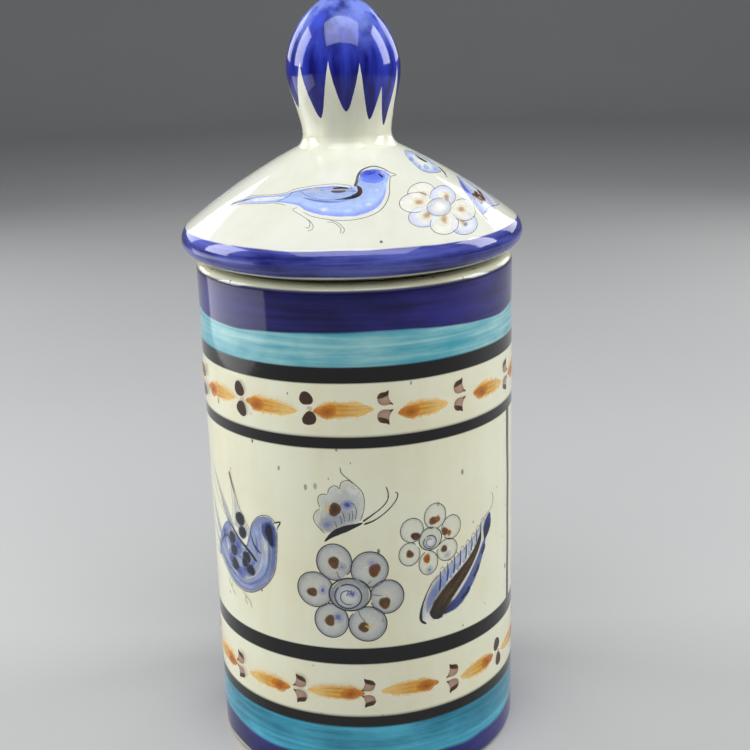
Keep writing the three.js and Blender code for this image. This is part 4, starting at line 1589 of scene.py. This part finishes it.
def lid_moth():
    """A butterfly high on the lid: one pale blue wing with a dark bar, and a thin body under it."""
    wing = on_lid(
        (67, 71.2), (58, 69), (54.8, 66.6), (52.2, 62.8), (50.8, 58.8), (54.2, 56.3), (60.8, 55.2),
        (68.8, 54.9), (74, 57), (79, 61), (80, 66), (75, 70),
    )
    marks = Painting()
    marks.wash(wing, WHITE_WASH * 1.05, SKY * 1.1, soft=0.9, amounts=(0.9, 0.95))
    for deg, slant, size, colour in (
        (56.4, 65.6, 2.4, MID_BLUE * 1.5), (60, 59.4, 2.6, SKY * 1.2), (66, 57, 2.2, LAVENDER * 1.2),
        (54, 60.6, 1.7, LAVENDER),
    ):
        marks.blot(on_lid((deg, slant))[0], (size, size * 0.8), colour, SKY, soft=1.3, amount=0.8)
    marks.stroke(
        on_lid((74, 67.6), (70, 65.6), (69.6, 63.4), (71, 61.4)), (1.4, 2.4, 2.2, 1.2), INK * 0.6, soft=0.6,
    )
    marks.closed_line(wing, 0.4, SLATE * 1.2, amount=0.85)
    marks.stroke(
        on_lid((77, 57.6), (74, 55.8), (71, 53.8), (64.6, 50.7)), (0.6, 2.0, 1.5, 0.4), INK * 0.7,
        ends=(0.1, 0.06),
    )
    return marks


# ---- The two rows of ornament between the black lines ----

ORNAMENTS = 13  # pairs of dabs round the jar
LOW_ROW_MIDDLE = 42.0
HIGH_ROW_MIDDLE = 160.6
BAR_PLACE = 78.0  # how far round the wall the first upright bar stands
DAB = (
    (-3.3, 0.2), (-2.7, -2.1), (-0.6, -3.1), (2.0, -3.0), (3.5, -2.7), (2.5, -1.2), (1.8, 0.6), (1.7, 3.7),
    (0.4, 2.9), (-1.4, 1.7),
)


def horned_dab(x, y, up, right):
    """A dab that was pressed and twisted: a mauve body, dark where the brush landed, with a short horn."""
    outline = np.asarray(DAB) * (right, up) * hand.uniform(0.85, 1.0) + (x, y)
    crown = np.array([(-2.9, 0.2), (-1.2, 1.3), (0.6, 1.9), (1.6, 3.2)]) * (right, up) + (x, y)
    marks = Painting()
    marks.wash(outline, MAUVE, MAUVE * 0.72, soft=0.6, count=48)
    marks.stroke(crown, (1.4, 2.8, 2.6, 1.0), [BROWN, BROWN_DARK, BROWN_DARK], ends=(0.2, 0.2), soft=0.6)
    corner = np.array([(1.8, -1.8), (3.2, -2.5)]) * (right, up) + (x, y)
    marks.stroke([corner[0], corner.mean(0) + (0, 0.1), corner[1]], 0.9, BROWN_DARK, soft=0.7, amount=0.8)
    return marks


def dab_pair(x, y, spread, right, solid):
    """Two brown dabs one over the other, each dark at its outer end."""
    marks = Painting()
    for up in (1, -1):
        if solid:
            radii = (2.9 + hand.uniform(-0.2, 0.3), 3.3 + hand.uniform(-0.2, 0.3))
            place = (x + hand.uniform(-0.5, 0.5) - 0.4 * up, y + up * spread)
            marks.blot(place, radii, BROWN_DARK, BROWN_DARK * 1.3, turn=up * 15, soft=0.6, wander=0.08)
        else:
            marks += horned_dab(x, y + up * (spread - 0.4), up, right)
    if solid:
        marks.blot((x + 0.8, y), (1.5, 1.2), MAUVE * 1.15, MAUVE, soft=0.8, amount=0.5)
    return marks


def amber_stroke(x, y, toward):
    """One press of an amber brush: a deep drop where it lands, then a pale streaked body that tapers away."""
    reach = 11.2 + hand.uniform(-1.2, 1.2)
    tilt = hand.uniform(-0.8, 0.8)
    tall = 9.2 + hand.uniform(-0.8, 0.8)
    body = [
        (x - toward * reach, y - tilt), (x - toward * reach * 0.3, y + 0.2), (x + toward * reach, y + tilt),
    ]
    widths = (tall * 0.75, tall, tall * 0.95, tall * 0.85, tall * 0.6)
    marks = Painting()
    marks.stroke(
        body, np.multiply(widths, 1.12), AMBER_PALE * 1.1, ends=(0.25, 0.3), soft=0.9, amount=0.6,
        streaks=0.25,
    )
    colours = [AMBER_DEEP * 1.15, AMBER, AMBER, AMBER_PALE, AMBER_PALE]
    marks.stroke(body, widths, colours, ends=(0.25, 0.25), soft=0.9, streaks=0.5)
    for offset in (-1.8, 0.2, 1.9):
        inner = [
            (x - toward * reach * 0.8, y + offset * 0.7), (x, y + offset),
            (x + toward * reach * 0.7, y + offset * 0.5),
        ]
        marks.stroke(
            inner, (1.6, 1.5, 0.6), [AMBER_DEEP, AMBER_DEEP, AMBER], ends=(0.3, 0.4), soft=1, amount=0.22,
        )
    drop = (x - toward * reach * 0.52, y - tilt * 0.4 - 0.3)
    turn = hand.uniform(-20, 20)
    marks.blot(
        drop, (4.6, 3.2), AMBER_DEEP, AMBER_DEEP * 1.3, turn=turn, soft=1.7, wander=0.09, rim_amount=0.7,
    )
    marks.blot(drop, (2.8, 2.0), RUST, AMBER_DEEP, turn=turn, soft=1.5, wander=0.1, amount=0.85)
    return marks


def ornament_row(height, first, nudges, toward, spread, solids):
    """Pairs of dabs at even steps round the jar with an amber stroke between each two. The nudges are how far
    a pair and the stroke after it stand from their even places, and how high the stroke lies."""
    step = TURN * JAR_RADIUS / ORNAMENTS
    marks = Painting()
    for k in range(ORNAMENTS):
        pair_nudge, leaf_nudge, leaf_lift = nudges[k % len(nudges)]
        x = first + k * step
        marks += dab_pair(x + pair_nudge, height, spread, toward, k in solids)
        marks += amber_stroke(x + step / 2 + leaf_nudge, height - 0.6 + leaf_lift, toward)
    return marks


def panel_bars():
    """The upright black lines that part the front panel from the back one."""
    marks = Painting()
    for x in (BAR_PLACE, BAR_PLACE - math.pi * JAR_RADIUS):
        bar = [(x - 0.6, PANEL_LOW - 1.5), (x, 90), (x + 0.2, 118), (x - 0.4, PANEL_HIGH + 1.5)]
        marks.stroke(bar, (4.4, 3.8, 4.0, 4.6), BLACK, ends=(0.02, 0.02), soft=0.25)
    return marks


def paint_jar():
    """The ornament rows, the bars, and the five motifs on the front panel and again on the back one."""

    def on_jar(name, marks):
        painted(name, marks, round_jar, "jar")

    low = (
        (0, 1.6, 1), (5, 4, 0), (3, 3, 0), (2, 1, 0), (1, 0, 0), (0, 0, 1), (-1, 1, 0), (2, 0, 0),
        (0, -1, 0),
    )
    low += ((-2, 0, 1), (-1, 2, 0), (1, 3, 0), (3, 2.4, 1))
    high = ((0, -2, 0), (-2, -2, -1.6), (-1.5, 1, -0.6), (0.5, 0, 0), (-1, 0, 0), (1, -1, 1), (0, 0, 0))
    high += ((-2, 1, 0), (0, 1, -1), (1, -1, 0), (0, 0, 0), (0, 2, 0), (1, 0, 0))
    on_jar("ornament_row_low", ornament_row(LOW_ROW_MIDDLE, 0.0, low, -1, 3.7, (2, 6, 9)))
    on_jar("ornament_row_high", ornament_row(HIGH_ROW_MIDDLE, -19.5, high, 1, 3.9, (0, 5, 8, 11, 12)))
    on_jar("panel_bars", panel_bars())
    motifs = {
        "bird": (perched_bird, (-55, 95), (228, 97), 0, True),
        "large_flower": (large_flower, (-5.7, 84.9), (178, 86), 35, True),
        "small_flower": (small_flower, (26.5, 105.1), (146, 106), 20, False),
        "butterfly": (butterfly, (-7, 121), (184, 121), -8, True),
        "leaf": (leaf, (40, 90.2), (121, 90), -8, True),
    }
    for name, (draw, here, there, turn, flip) in motifs.items():
        on_jar("front_" + name, draw())
        on_jar("back_" + name, placed(draw(), here, there, turn, flip=flip))


def paint_lid():
    """The four motifs on the front of the dome, and again on the back."""
    for name, draw in (
        ("bird", long_tailed_bird),
        ("flower", lid_flower),
        ("leaf", lid_leaf),
        ("moth", lid_moth),
    ):
        painted("lid_front_" + name, draw(), over_lid, "lid")
        painted("lid_back_" + name, turned_on_lid(draw(), 180), over_lid, "lid")


def make_materials():
    """Every finish by the name of what it covers, after the shader groups that they share."""
    make_glaze_skin()
    make_glaze_colour()
    make_turned_streaks()
    return {
        "painted_wall": painted_wall_material(),
        "lid": lid_material(),
        "finial": finial_material(),
        "bare_clay": bare_clay_material(),
        "floor_disc": floor_disc_material(),
        "brush_paint": brush_paint_material(),
    }


make_camera()
make_lights()
bpy.context.scene.view_settings.view_transform = "Standard"
materials = make_materials()
make_floor()
make_jar()
make_lid()
make_finial()
paint_jar()
paint_lid()
